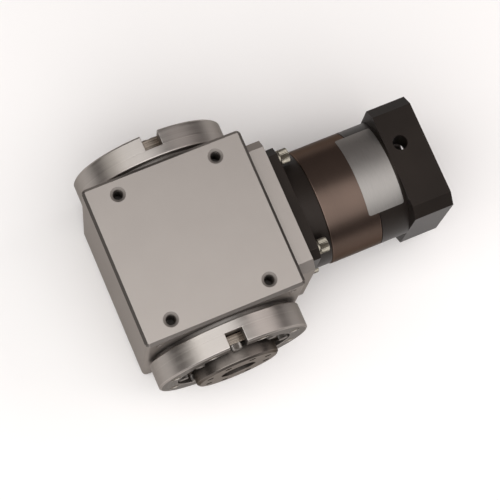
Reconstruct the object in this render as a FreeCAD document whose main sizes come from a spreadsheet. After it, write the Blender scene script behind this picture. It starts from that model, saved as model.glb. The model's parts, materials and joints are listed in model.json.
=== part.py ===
import FreeCAD, Part
import os
from math import acos, atan2, cos, degrees, pi, radians, sin, sqrt, tan
from types import SimpleNamespace

import Sketcher
from FreeCAD import Placement, Rotation, Vector

# Right-angle planetary reducer with a disc output, lying on its base plate.
# +X is the input axis towards the motor, the disc faces -Y, +Z is up.
# The input and output axes cross above the middle of the base face, which is the origin.

# Driving dimensions, in millimetres, degrees or counts
SIZES = {
    # Cube
    "axis_height": 55.0,          # base face to the crossing of the axes
    "case_half": 55.0,            # crossing to the machined sides and to the top plate
    "edge_chamfer": 2.0,          # round the base and the top plate
    "corner_radius": 3.0,         # upright corners of the cube
    "plate_hole_x": 33.75,        # mounting holes of the top plate, from the axes
    "plate_hole_y": 43.75,
    "plate_hole_radius": 3.4,     # drilled for an 8 mm thread
    "plate_hole_depth": 18.0,
    "plate_sink_radius": 4.4,     # countersunk mouth
    "plate_sink_depth": 1.0,
    "corner_hole_offset": 46.0,   # corner holes of the output side, from the axes
    "corner_hole_radius": 2.5,    # drilled for a 6 mm thread
    "corner_hole_depth": 15.0,
    # Input pad of the cube
    "pad_length": 11.7,
    "pad_half_width": 46.5,
    "pad_half_height": 45.5,
    "pad_cut": 6.0,               # cut along the pad's four corners
    # Collars at both ends of the output axis
    "relief_width": 3.0,          # turned relief between cube and collar
    "relief_land": 3.0,           # screw circle to the relief's floor
    "relief_depth": 4.8,
    "collar_length": 17.0,
    "collar_chamfer": 1.0,
    "collar_back_chamfer": 0.5,
    "recess_depth": 10.5,         # recess of the retainer and the rear cover
    "recess_wall": 1.2,           # recess to the sunk screw heads
    "notch_width": 12.0,          # spanner notch through the collar
    "flange_land": 4.0,           # screw circle to the bore of the cube
    "flange_screw_count": 8,
    "flange_thread": 9.0,         # length of screw in the cube
    # Output bearings
    "bearing_outer": 31.0,
    "bearing_width": 17.0,
    "bearing_lip": 2.5,
    "bearing_lip_height": 3.0,
    "cup_wall": 3.4,
    "cone_wall": 4.4,
    # Retainer, seal and rear cover
    "retainer_land": 9.0,         # bearing to the recess wall
    "retainer_thickness": 6.5,
    "retainer_lip": 1.3,
    "retainer_screw_count": 8,
    "retainer_thread": 9.5,
    "seal_step": 1.0,             # bearing to the seal's seat
    "seal_width": 4.8,
    "cover_sink": 0.2,            # cover below the end of the collar
    "cover_floor": 2.5,
    "rim_chamfer": 1.0,           # outer edges of the retainer and the cover
    # Output hub with its disc
    "shaft_radius": 20.0,
    "land_step": 5.0,             # shaft to the seal's running land
    "disc_gap": 1.5,
    "disc_radius": 29.0,
    "disc_thickness": 10.0,
    "disc_chamfer": 1.5,
    "disc_bore_radius": 12.0,
    "disc_bore_depth": 12.0,
    "disc_hole_circle": 22.0,
    "disc_hole_count": 8,
    "disc_hole_radius": 2.1,      # drilled for a 5 mm thread
    "disc_hole_depth": 11.0,
    "rear_journal_step": 2.5,     # shaft to the rear journal
    "rear_nut_width": 5.0,
    "rear_nut_wall": 8.0,
    "rear_shaft_end": 0.3,        # shaft past the lock nut
    "key_width": 8.0,
    "key_sink": 4.0,              # key in the shaft
    "key_rise": 2.0,              # key in the gear
    "key_length": 10.0,
    # Bevel pair
    "bevel_module": 3.0,
    "pinion_teeth": 12,
    "crown_teeth": 24,
    "bevel_face": 12.0,           # length of the teeth
    "crown_back": 4.0,            # metal behind the crown's teeth
    "crown_hub_wall": 7.0,
    "crown_hub_length": 5.5,
    # Pinion shaft and its bearings
    "pinion_journal": 15.0,
    "pinion_collar_step": 2.5,
    "pinion_seat": 26.0,          # radius of the bearing bore in the pad
    "pinion_lip": 2.5,
    "pinion_bearing_width": 10.0,
    "pinion_race_wall": 3.7,
    "pinion_spacer": 1.2,
    "pinion_nut_width": 5.5,
    "pinion_nut_wall": 6.0,
    "carrier_journal": 12.0,
    # Planetary stage
    "gear_module": 1.75,
    "sun_teeth_per_planet": 4,    # teeth of the sun for each of the three planets
    "planet_teeth_thirds": 4,     # a third of a planet's teeth
    "planet_width": 15.0,
    "planet_gap": 1.0,
    "pin_radius": 4.0,
    "pin_head_radius": 6.0,
    "pin_head": 1.2,
    "carrier_radius": 28.5,
    "carrier_thickness": 9.0,
    "carrier_inset": 2.3,         # carrier plate reaching into the stage flange
    "carrier_hub_wall": 5.0,
    "carrier_web": 1.5,
    "sun_neck_radius": 7.8,
    "sun_overhang": 0.6,
    # Tooth form
    "pressure_angle": 25.0,
    "addendum_share": 0.85,       # of the module
    "dedendum_share": 1.1,
    "tooth_play": 0.24,           # backlash on the pitch circle
    # Stage flange
    "plate_half": 40.0,
    "plate_cut": 6.0,
    "plate_thickness": 7.5,
    "stage_spigot": 2.0,
    "stage_web": 5.3,
    "stage_length": 19.6,         # pad to the ring gear
    "neck_step": 0.75,            # neck below the ring gear's skin
    "stage_screw_gap": 1.5,       # neck to the screw heads
    "stage_screw_count": 4,
    "stage_thread": 12.0,
    "washer_thickness": 1.8,
    # Ring gear
    "ring_wall": 6.6,             # roots of the teeth to the skin
    "ring_length": 36.4,
    "ring_chamfer": 0.6,
    "tie_screw_count": 6,
    "tie_screw_turn": 15.0,       # keeps the screws off the flats of the square plate
    "tie_thread": 11.0,
    # Motor adapter
    "adapter_neck": 19.6,
    "block_half": 40.0,
    "block_cut": 7.4,
    "block_length": 27.5,
    "pilot_radius": 35.0,
    "pilot_depth": 4.0,
    "cavity_radius": 24.0,
    "motor_hole_circle": 45.0,
    "motor_hole_count": 4,
    "motor_hole_radius": 2.5,     # drilled for a 6 mm thread
    "motor_hole_depth": 16.0,
    "input_bearing_outer": 18.5,
    "input_bearing_width": 10.0,
    "input_bearing_inset": 0.3,
    "input_journal": 10.0,
    "input_shoulder_step": 1.5,
    "input_shoulder": 3.0,
    "input_race_wall": 3.0,
    "input_lip": 2.0,
    "input_lip_height": 3.5,
    "input_seal_outer": 16.5,
    "input_seal_width": 5.0,
    # Motor clamp
    "motor_shaft_radius": 7.0,
    "sleeve_wall": 1.2,
    "sleeve_sink": 1.0,           # pilot floor to the mouth of the sleeve
    "sleeve_floor": 1.5,          # seal land to the floor of the sleeve's bore
    "slit_width": 1.5,
    "collar_outer": 17.0,
    "collar_width": 13.0,
    "collar_slit": 2.0,
    "clamp_place": 17.3,          # adapter face to the clamp screw and its access hole
    "clamp_screw_wall": 0.25,     # sleeve to the clamp screw
    "access_radius": 5.0,
    # Bare nameplate on the ring gear and the adapter neck
    "nameplate_start": 7.3,       # its edge before the joint of ring gear and adapter
    "nameplate_width": 25.2,
    "nameplate_thickness": 0.3,
    "nameplate_from": 41.5,       # angles about the input axis, from +Y towards +Z
    "nameplate_to": 130.5,
    # Fasteners: 4 mm, 6 mm and 8 mm cap screws
    "small_shank": 2.0,
    "small_head": 3.5,
    "small_head_height": 4.0,
    "small_socket": 1.5,
    "small_hole": 2.2,
    "middle_shank": 3.0,
    "middle_head": 5.0,
    "middle_head_height": 6.0,
    "middle_socket": 2.5,
    "middle_hole": 3.3,
    "large_shank": 4.0,
    "large_head": 6.5,
    "large_head_height": 5.0,
    "large_socket": 3.0,
    "socket_depth_share": 0.5,    # of the head's height
    "head_room": 0.3,             # round a sunk head
    # Clearances
    "fit_gap": 0.02,              # located fit within one body
    "running_gap": 0.06,          # planet on its pin
    "seal_gap": 0.12,             # seal to its running land
    "end_gap": 0.8,               # end play between turning pieces
}

doc = FreeCAD.newDocument("disc_output_reducer")
sheet = doc.addObject("Spreadsheet::Sheet", "Sizes")
for row, (name, number) in enumerate(SIZES.items(), start=1):
    sheet.set(f"A{row}", name)
    sheet.set(f"B{row}", str(number))
    sheet.setAlias(f"B{row}", name)
doc.recompute()


class Length:
    """A number together with the sheet expression that yields it."""

    def __init__(self, value, text):
        self.value = float(value)
        self.text = text

    def __float__(self):
        return self.value

    def __add__(self, other):
        other = as_length(other)
        return Length(self.value + other.value, f"({self.text} + {other.text})")

    def __sub__(self, other):
        other = as_length(other)
        return Length(self.value - other.value, f"({self.text} - {other.text})")

    def __mul__(self, other):
        other = as_length(other)
        return Length(self.value * other.value, f"({self.text} * {other.text})")

    def __truediv__(self, other):
        other = as_length(other)
        return Length(self.value / other.value, f"({self.text} / {other.text})")

    def __neg__(self):
        return Length(-self.value, f"(-{self.text})")

    def along_x(self, angle):
        """The first coordinate of a point at this radius and at an angle in degrees."""
        return Length(self.value * cos(radians(float(angle))), f"({self.text} * cos({angle.text} * 1 deg))")

    def along_y(self, angle):
        """The second coordinate of a point at this radius and at an angle in degrees."""
        return Length(self.value * sin(radians(float(angle))), f"({self.text} * sin({angle.text} * 1 deg))")


def as_length(item):
    """A plain number as a length."""
    if isinstance(item, Length):
        return item
    return Length(item, repr(float(item)))


ZERO = as_length(0)
s = SimpleNamespace(**{name: Length(sheet.get(name), "Sizes." + name) for name in SIZES})
NODES = []

# Axes of the pieces: each turned piece is drawn along its own Z, from the crossing outwards
FRAMES = {
    "cube": Rotation(),
    "input": Rotation(Vector(0, 1, 0), 90),
    "output": Rotation(Vector(1, 0, 0), 90),
    "rear": Rotation(Vector(1, 0, 0), -90),
}
# In the output and rear frames, the local Y that points up
UPWARDS = {"output": 1, "rear": -1}


def bind(thing, path, length):
    """Ties one property to the sheet."""
    thing.setExpression(path, as_length(length).text)


def place(thing, frame):
    """Puts a piece on the crossing of the axes, turned to its frame."""
    thing.Placement = Placement(Vector(0, 0, float(s.axis_height)), FRAMES[frame])
    bind(thing, ".Placement.Base.z", s.axis_height)


def new_body(label, frame):
    """An empty body for one node."""
    body = doc.addObject("PartDesign::Body", label)
    body.Label = label
    body.AllowCompound = True
    place(body, frame)
    NODES.append(body)
    return body


def new_sketch(body, role, lift=ZERO):
    """A sketch on one of the body's own origin planes, lifted along the plane's normal."""
    plane = [feature for feature in body.Origin.OriginFeatures if feature.Role == role][0]
    sketch = body.newObject("Sketcher::SketchObject", body.Label + "_sketch")
    sketch.AttachmentSupport = [(plane, "")]
    sketch.MapMode = "FlatFace"
    sketch.AttachmentOffset = Placement(Vector(0, 0, float(lift)), Rotation())
    if lift is not ZERO:
        bind(sketch, "AttachmentOffset.Base.z", lift)
    return sketch


def hold(sketch, geometry, point, u, v):
    """Fixes a sketch point by its two bound distances from the sketch's origin."""
    for kind, axis, length in (("DistanceX", -2, as_length(u)), ("DistanceY", -1, as_length(v))):
        if length.value == 0:
            sketch.addConstraint(Sketcher.Constraint("PointOnObject", geometry, point, axis))
        else:
            index = sketch.addConstraint(Sketcher.Constraint(kind, -1, 1, geometry, point, length.value))
            bind(sketch, f"Constraints[{index}]", length)


def outline(sketch, corners):
    """A closed outline of straight edges through bound corners."""
    spots = [Vector(float(u), float(v), 0) for u, v in corners]
    edges = []
    for here, there in zip(spots, spots[1:] + spots[:1]):
        edges.append(sketch.addGeometry(Part.LineSegment(here, there), False))
    for edge, following in zip(edges, edges[1:] + edges[:1]):
        sketch.addConstraint(Sketcher.Constraint("Coincident", edge, 2, following, 1))
    for edge, (u, v) in zip(edges, corners):
        hold(sketch, edge, 1, u, v)


def ring_line(sketch, u, v, radius):
    """A circle with a bound centre and radius."""
    circle = Part.Circle(Vector(float(u), float(v), 0), Vector(0, 0, 1), float(radius))
    index = sketch.addGeometry(circle, False)
    hold(sketch, index, 3, u, v)
    size = sketch.addConstraint(Sketcher.Constraint("Radius", index, float(radius)))
    bind(sketch, f"Constraints[{size}]", radius)


def turn_section(body, kind, corners):
    """Revolves a half section, given as (along, radius) corners, about the body's Z; kind adds or cuts."""
    sketch = new_sketch(body, "XZ_Plane")
    outline(sketch, [(radius, along) for along, radius in corners])
    feature = body.newObject(kind, body.Label + "_turned")
    feature.Profile = sketch
    feature.ReferenceAxis = (sketch, ["V_Axis"])
    feature.Angle = 360
    body.Tip = feature
    return feature


def turned(label, frame, corners):
    """A plain turned piece."""
    body = new_body(label, frame)
    turn_section(body, "PartDesign::Revolution", corners)
    return body


def tube(label, frame, start, end, inner, outer):
    """A turned ring with a square section."""
    return turned(label, frame, [(start, inner), (start, outer), (end, outer), (end, inner)])


def pad(body, sketch, length, both_ways=False):
    """Raises a sketch along its normal."""
    feature = body.newObject("PartDesign::Pad", body.Label + "_pad")
    feature.Profile = sketch
    feature.Midplane = both_ways
    feature.Length = float(length)
    bind(feature, "Length", length)
    body.Tip = feature
    return feature


def pocket(body, sketch, depth=None, upwards=False, both_ways=False):
    """Cuts a sketch against its normal, or along it if upwards; right through if no depth is given."""
    feature = body.newObject("PartDesign::Pocket", body.Label + "_pocket")
    feature.Profile = sketch
    feature.Reversed = upwards
    feature.Midplane = both_ways
    if depth is None:
        feature.Type = "ThroughAll"
    else:
        feature.Length = float(depth)
        bind(feature, "Length", depth)
    body.Tip = feature
    return feature


def around(body, features, count):
    """Repeats features evenly about the body's Z."""
    pattern = body.newObject("PartDesign::PolarPattern", body.Label + "_ring")
    pattern.Originals = features
    pattern.Axis = ([item for item in body.Origin.OriginFeatures if item.Role == "Z_Axis"][0], [""])
    pattern.Angle = 360
    pattern.Occurrences = int(float(count))
    bind(pattern, "Occurrences", count)
    body.Tip = pattern
    return pattern


def half_step(count):
    """Half of the angle between neighbours of an even ring, in degrees."""
    return Length(180 / float(count), f"(180 / {count.text})")


def hole_ring(body, face, circle, count, radius, depth, upwards=False, start=ZERO):
    """An even ring of round holes sunk from the plane at face."""
    sketch = new_sketch(body, "XY_Plane", face)
    ring_line(sketch, circle.along_x(start), circle.along_y(start), radius)
    return around(body, [pocket(body, sketch, depth, upwards)], count)


def cut_rectangle(half_u, half_v, cut):
    """Corners of a rectangle with its corners cut at 45 degrees."""
    near_u = half_u - cut
    near_v = half_v - cut
    return [(half_u, near_v), (near_u, half_v), (-near_u, half_v), (-half_u, near_v),
            (-half_u, -near_v), (-near_u, -half_v), (near_u, -half_v), (half_u, -near_v)]


def hexagon(sketch, u, v, across):
    """A hexagon about a bound centre; across is the radius of its flats."""
    corner = across / cos(pi / 6)
    outline(sketch, [(u + corner * cos(pi / 3 * step), v + corner * sin(pi / 3 * step)) for step in range(6)])


def cap_screws(label, frame, circle, count, seat, size, shank_length, start=ZERO, inwards=True):
    """A ring of socket screws; the heads stand on the plane at seat, the shanks run inwards from it."""
    shank, head, height, socket = size
    way = -1 if inwards else 1
    body = new_body(label, frame)
    sketch = new_sketch(body, "XY_Plane", seat - shank_length if inwards else seat)
    ring_line(sketch, circle.along_x(start), circle.along_y(start), shank)
    stem = pad(body, sketch, shank_length)
    top = seat if inwards else seat - height
    sketch = new_sketch(body, "XY_Plane", top)
    ring_line(sketch, circle.along_x(start), circle.along_y(start), head)
    cap = pad(body, sketch, height)
    sketch = new_sketch(body, "XY_Plane", seat - height * way)
    hexagon(sketch, circle.along_x(start), circle.along_y(start), socket)
    drive = pocket(body, sketch, height * s.socket_depth_share, upwards=not inwards)
    around(body, [stem, cap, drive], count)
    return body


SMALL_SCREW = (s.small_shank, s.small_head, s.small_head_height, s.small_socket)
MIDDLE_SCREW = (s.middle_shank, s.middle_head, s.middle_head_height, s.middle_socket)

# Places along the output axis, from the crossing
collar_start = s.case_half + s.relief_width
collar_end = collar_start + s.collar_length
recess_floor = collar_end - s.recess_depth
bearing_start = recess_floor - s.bearing_width
spigot_end = bearing_start - s.bearing_lip
retainer_face = recess_floor + s.retainer_thickness
cover_face = collar_end - s.cover_sink
disc_back = retainer_face + s.disc_gap
disc_face = disc_back + s.disc_thickness
rear_nut_end = recess_floor + s.rear_nut_width

# Radii about the output axis, from the bearing outwards
recess_radius = s.bearing_outer + s.retainer_land
sunk_head_radius = s.small_head + s.head_room
flange_screw_circle = recess_radius + s.recess_wall + sunk_head_radius
case_bore = flange_screw_circle - s.flange_land
relief_radius = flange_screw_circle + s.relief_land
collar_radius = relief_radius + s.relief_depth
retainer_rim = recess_radius - s.fit_gap
retainer_screw_circle = (s.bearing_outer + recess_radius) / 2
seal_land = s.shaft_radius + s.land_step
seal_seat = s.bearing_outer - s.seal_step
retainer_lip_radius = seal_land + s.seal_step * 2
rear_journal = s.shaft_radius - s.rear_journal_step
sunk_head_depth = s.small_head_height + s.head_room

# Places along the input axis, from the crossing
pad_face = s.case_half + s.pad_length
rear_cup_end = pad_face - s.stage_spigot
rear_cup_start = rear_cup_end - s.pinion_bearing_width
front_cup_end = rear_cup_start - s.pinion_spacer
front_cup_start = front_cup_end - s.pinion_bearing_width
pinion_nut_end = rear_cup_end + s.pinion_nut_width
plate_face = pad_face + s.plate_thickness
stage_web_end = pad_face + s.stage_web
ring_start = pad_face + s.stage_length
ring_end = ring_start + s.ring_length
block_start = ring_end + s.adapter_neck
adapter_face = block_start + s.block_length
carrier_start = ring_start - s.carrier_inset
carrier_end = carrier_start + s.carrier_thickness
carrier_screw_seat = carrier_end - s.large_head_height - s.head_room
pinion_end = carrier_screw_seat - s.carrier_web
carrier_hub_start = pinion_nut_end + s.end_gap
planet_start = carrier_end + s.planet_gap
planet_end = planet_start + s.planet_width
input_cup_start = ring_end + s.input_bearing_inset
input_cup_end = input_cup_start + s.input_bearing_width
input_seal_start = input_cup_end + s.input_lip
input_seal_end = input_seal_start + s.input_seal_width
pilot_floor = adapter_face - s.pilot_depth
sleeve_mouth = pilot_floor - s.sleeve_sink
clamp_along = adapter_face - s.clamp_place

# Radii and counts about the input axis
SUN_TEETH = 3 * int(float(s.sun_teeth_per_planet))
PLANET_TEETH = 3 * int(float(s.planet_teeth_thirds))
RING_TEETH = SUN_TEETH + 2 * PLANET_TEETH
PLANETS = 3
ring_pitch = s.gear_module * RING_TEETH / 2
ring_root = ring_pitch + s.gear_module * s.dedendum_share
ring_radius = ring_root + s.ring_wall
planet_circle = s.gear_module * (SUN_TEETH + PLANET_TEETH) / 2
tie_circle = (ring_root + ring_radius) / 2
neck_radius = ring_radius - s.neck_step
stage_screw_circle = neck_radius + s.stage_screw_gap + s.middle_head
stage_bore = s.pinion_seat - s.pinion_lip
stage_cavity = ring_root - s.fit_gap
sleeve_radius = s.motor_shaft_radius + s.sleeve_wall
clamp_offset = sleeve_radius + s.small_shank + s.clamp_screw_wall
CORNER_ANGLE = as_length(45)
# Two sizes closer than this are the same
TOUCH = 0.001


def make_housing():
    """The cube with its input pad, both bores and all tapped holes."""
    body = new_body("housing", "cube")
    sketch = new_sketch(body, "XY_Plane", -s.axis_height)
    outline(sketch, [(s.case_half, s.case_half), (-s.case_half, s.case_half),
                     (-s.case_half, -s.case_half), (s.case_half, -s.case_half)])
    cube = pad(body, sketch, s.axis_height + s.case_half)
    doc.recompute()
    upright = [f"Edge{index}" for index, edge in enumerate(cube.Shape.Edges, start=1)
               if abs(edge.tangentAt(edge.FirstParameter).z) > 0.9]
    rounded = body.newObject("PartDesign::Fillet", "housing_corners")
    rounded.Base = (cube, upright)
    rounded.Radius = float(s.corner_radius)
    bind(rounded, "Radius", s.corner_radius)
    body.Tip = rounded
    doc.recompute()
    level = [f"Edge{index}" for index, edge in enumerate(rounded.Shape.Edges, start=1)
             if edge.BoundBox.ZLength < TOUCH]
    edges = body.newObject("PartDesign::Chamfer", "housing_edges")
    edges.Base = (rounded, level)
    edges.Size = float(s.edge_chamfer)
    bind(edges, "Size", s.edge_chamfer)
    body.Tip = edges
    housing_pad(body)
    housing_bores(body)
    housing_holes(body)


def housing_pad(body):
    """Input pad: a block with its four corners cut along the input axis."""
    sketch = new_sketch(body, "YZ_Plane")
    outline(sketch, cut_rectangle(s.pad_half_width, s.pad_half_height, s.pad_cut))
    pad(body, sketch, pad_face)


def housing_bores(body):
    """The bore through the cube along the output axis, and the stepped pinion bore in the pad."""
    sketch = new_sketch(body, "XZ_Plane")
    ring_line(sketch, ZERO, ZERO, case_bore)
    pocket(body, sketch, both_ways=True)
    sketch = new_sketch(body, "XY_Plane")
    outline(sketch, [(ZERO, ZERO), (ZERO, stage_bore), (front_cup_start, stage_bore),
                     (front_cup_start, s.pinion_seat), (pad_face, s.pinion_seat), (pad_face, ZERO)])
    bore = body.newObject("PartDesign::Groove", "housing_pinion_bore")
    bore.Profile = sketch
    bore.ReferenceAxis = (sketch, ["H_Axis"])
    bore.Angle = 360
    body.Tip = bore


def four_circles(sketch, u, v, radius):
    """Four like circles, mirrored about both axes of a sketch."""
    for u_sign in (1, -1):
        for v_sign in (1, -1):
            ring_line(sketch, u * u_sign, v * v_sign, radius)


def housing_holes(body):
    """Tapped holes: top plate, corners of the output side, collar screws and stage screws."""
    sketch = new_sketch(body, "XY_Plane", s.case_half)
    four_circles(sketch, s.plate_hole_x, s.plate_hole_y, s.plate_hole_radius)
    pocket(body, sketch, s.plate_hole_depth)
    sketch = new_sketch(body, "XY_Plane", s.case_half)
    four_circles(sketch, s.plate_hole_x, s.plate_hole_y, s.plate_sink_radius)
    mouth = pocket(body, sketch, s.plate_sink_depth)
    widening = s.plate_sink_radius - s.plate_hole_radius
    mouth.TaperAngle = -degrees(atan2(float(widening), float(s.plate_sink_depth)))
    sketch = new_sketch(body, "XZ_Plane", s.case_half)
    four_circles(sketch, s.corner_hole_offset, s.corner_hole_offset, s.corner_hole_radius)
    pocket(body, sketch, s.corner_hole_depth)
    angle = half_step(s.flange_screw_count)
    for lift, upwards in ((s.case_half, False), (-s.case_half, True)):
        sketch = new_sketch(body, "XZ_Plane", lift)
        ring_line(sketch, flange_screw_circle.along_x(angle), flange_screw_circle.along_y(angle),
                  s.small_shank + s.fit_gap)
        hole = pocket(body, sketch, s.flange_thread + s.end_gap, upwards)
        ring = body.newObject("PartDesign::PolarPattern", "housing_collar_holes")
        ring.Originals = [hole]
        ring.Axis = (sketch, ["N_Axis"])
        ring.Angle = 360
        ring.Occurrences = int(float(s.flange_screw_count))
        bind(ring, "Occurrences", s.flange_screw_count)
        body.Tip = ring
    sketch = new_sketch(body, "YZ_Plane", pad_face)
    spread = stage_screw_circle.along_x(CORNER_ANGLE)
    four_circles(sketch, spread, spread, s.middle_shank + s.fit_gap)
    pocket(body, sketch, s.stage_thread + s.end_gap)


def make_collar(label, frame):
    """A notched collar: spigot in the cube, relief, bearing seat, recess and sunk screw holes."""
    lip_radius = s.bearing_outer - s.bearing_lip_height
    spigot = case_bore - s.fit_gap
    body = turned(label, frame, [
        (spigot_end, lip_radius), (spigot_end, spigot), (s.case_half, spigot), (s.case_half, relief_radius),
        (collar_start, relief_radius), (collar_start, collar_radius - s.collar_back_chamfer),
        (collar_start + s.collar_back_chamfer, collar_radius),
        (collar_end - s.collar_chamfer, collar_radius), (collar_end, collar_radius - s.collar_chamfer),
        (collar_end, recess_radius), (recess_floor, recess_radius), (recess_floor, s.bearing_outer),
        (bearing_start, s.bearing_outer), (bearing_start, lip_radius)])
    sketch = new_sketch(body, "XY_Plane", collar_end)
    half = s.notch_width / 2
    near = (recess_radius - half) * UPWARDS[frame]
    far = (collar_radius + half) * UPWARDS[frame]
    outline(sketch, [(half, near), (half, far), (-half, far), (-half, near)])
    pocket(body, sketch, s.recess_depth)
    angle = half_step(s.flange_screw_count)
    hole_ring(body, collar_end, flange_screw_circle, s.flange_screw_count, sunk_head_radius, sunk_head_depth,
              start=angle)
    hole_ring(body, collar_end, flange_screw_circle, s.flange_screw_count, s.small_hole,
              collar_end - s.case_half, start=angle)
    hole_ring(body, recess_floor, retainer_screw_circle, s.retainer_screw_count, s.small_shank + s.fit_gap,
              s.retainer_thread + s.end_gap)


def make_output_end():
    """Everything fixed at the disc's end of the output axis."""
    make_collar("output_flange", "output")
    collar_screws("output_flange_screws", "output")
    bearing_cup("output_bearing_cup", "output")
    body = turned("output_retainer", "output", [
        (recess_floor, retainer_lip_radius), (recess_floor, retainer_rim - s.rim_chamfer),
        (recess_floor + s.rim_chamfer, retainer_rim), (retainer_face, retainer_rim),
        (retainer_face, seal_seat), (recess_floor + s.retainer_lip, seal_seat),
        (recess_floor + s.retainer_lip, retainer_lip_radius)])
    hole_ring(body, retainer_face, retainer_screw_circle, s.retainer_screw_count, s.small_hole, None)
    cap_screws("retainer_screws", "output", retainer_screw_circle, s.retainer_screw_count, retainer_face,
               SMALL_SCREW, s.retainer_thickness + s.retainer_thread)
    seal_start = recess_floor + s.retainer_lip
    seal("output_seal", "output", seal_start, s.seal_width, seal_land + s.seal_gap, seal_seat - s.fit_gap)


def make_rear_end():
    """Everything fixed at the closed end of the output axis."""
    make_collar("rear_flange", "rear")
    collar_screws("rear_flange_screws", "rear")
    bearing_cup("rear_bearing_cup", "rear")
    nut_room = s.bearing_outer - s.cup_wall
    floor = cover_face - s.cover_floor
    length = cover_face - recess_floor
    body = turned("rear_cover", "rear", [
        (recess_floor, nut_room), (recess_floor, retainer_rim - s.rim_chamfer),
        (recess_floor + s.rim_chamfer, retainer_rim), (cover_face - s.rim_chamfer, retainer_rim),
        (cover_face, retainer_rim - s.rim_chamfer), (cover_face, ZERO), (floor, ZERO), (floor, nut_room)])
    hole_ring(body, cover_face, retainer_screw_circle, s.retainer_screw_count, sunk_head_radius,
              sunk_head_depth)
    hole_ring(body, cover_face, retainer_screw_circle, s.retainer_screw_count, s.small_hole, length)
    cap_screws("rear_cover_screws", "rear", retainer_screw_circle, s.retainer_screw_count,
               cover_face - sunk_head_depth, SMALL_SCREW,
               length - sunk_head_depth + s.retainer_thread)


def collar_screws(label, frame):
    """Cap screws sunk in a collar's end face."""
    seat = collar_end - sunk_head_depth
    cap_screws(label, frame, flange_screw_circle, s.flange_screw_count, seat, SMALL_SCREW,
               seat - s.case_half + s.flange_thread, start=half_step(s.flange_screw_count))


def bearing_cup(label, frame):
    """Outer race of an output bearing, with a raceway that opens towards the cube."""
    rim = s.bearing_outer - s.fit_gap
    small = s.bearing_outer - s.cup_wall
    turned(label, frame, [(bearing_start, small + s.cup_wall / 2), (bearing_start, rim), (recess_floor, rim),
                          (recess_floor, small)])


def bearing_cone(label, frame, bore):
    """Inner race of an output bearing, with a raceway that follows its cup."""
    large = s.shaft_radius + s.cone_wall
    turned(label, frame, [(bearing_start, bore), (bearing_start, large),
                          (recess_floor, large - s.cone_wall / 4), (recess_floor, bore)])


def seal(label, frame, start, width, inner, outer):
    """A lip seal: a rim with a lip that leans on the shaft."""
    end = start + width
    wall = (outer - inner) / 3
    turned(label, frame, [(start, inner + wall), (start, outer), (end, outer), (end, inner),
                          (end - wall, inner), (start + wall, outer - wall), (start + wall / 2, outer - wall),
                          (start + wall / 2, inner + wall)])


def make_output_hub():
    """Disc and shaft in one piece, its crown gear's key, spacer, inner races and lock nut."""
    body = turned("output_hub", "output", [
        (-rear_nut_end - s.rear_shaft_end, ZERO), (-rear_nut_end - s.rear_shaft_end, rear_journal),
        (-bearing_start, rear_journal), (-bearing_start, s.shaft_radius), (recess_floor, s.shaft_radius),
        (recess_floor, seal_land), (disc_back, seal_land), (disc_back, s.disc_radius),
        (disc_face - s.disc_chamfer, s.disc_radius), (disc_face, s.disc_radius - s.disc_chamfer),
        (disc_face, s.disc_bore_radius), (disc_face - s.disc_bore_depth, s.disc_bore_radius),
        (disc_face - s.disc_bore_depth, ZERO)])
    hole_ring(body, disc_face, s.disc_hole_circle, s.disc_hole_count, s.disc_hole_radius, s.disc_hole_depth,
              start=half_step(s.disc_hole_count))
    sketch = new_sketch(body, "YZ_Plane", s.shaft_radius - s.key_sink)
    key_half = s.key_width / 2
    outline(sketch, [(key_half, key_start), (key_half, key_end),
                     (-key_half, key_end), (-key_half, key_start)])
    pocket(body, sketch, s.key_sink, upwards=True)
    body = new_body("gear_key", "output")
    sketch = new_sketch(body, "YZ_Plane", s.shaft_radius - s.key_sink + s.fit_gap)
    key_side = key_half - s.fit_gap
    outline(sketch, [(key_side, key_start + s.fit_gap), (key_side, key_end - s.fit_gap),
                     (-key_side, key_end - s.fit_gap), (-key_side, key_start + s.fit_gap)])
    pad(body, sketch, s.key_sink + s.key_rise - s.fit_gap * 2)
    tube("hub_spacer", "output", crown_hub_end, bearing_start, s.shaft_radius + s.fit_gap,
         s.shaft_radius + s.cone_wall)
    bearing_cone("output_bearing_cone", "output", s.shaft_radius + s.fit_gap)
    bearing_cone("rear_bearing_cone", "rear", rear_journal + s.fit_gap)
    tube("rear_lock_nut", "rear", recess_floor, rear_nut_end, rear_journal + s.fit_gap,
         rear_journal + s.rear_nut_wall)


def involute(angle):
    """Involute function of a pressure angle in radians."""
    return tan(angle) - angle


def half_tooth(radius, pitch_radius, teeth, play):
    """Half the angle that a tooth fills at a radius; play thins it on the pitch circle."""
    alpha = radians(float(s.pressure_angle))
    base = pitch_radius * cos(alpha)
    roll = acos(min(1.0, base / radius))
    return pi / (2 * teeth) - play / (4 * pitch_radius) + involute(alpha) - involute(roll)


def polar(radius, angle):
    """A point in the plane from its radius and angle in radians."""
    return Vector(radius * cos(angle), radius * sin(angle), 0)


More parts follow.
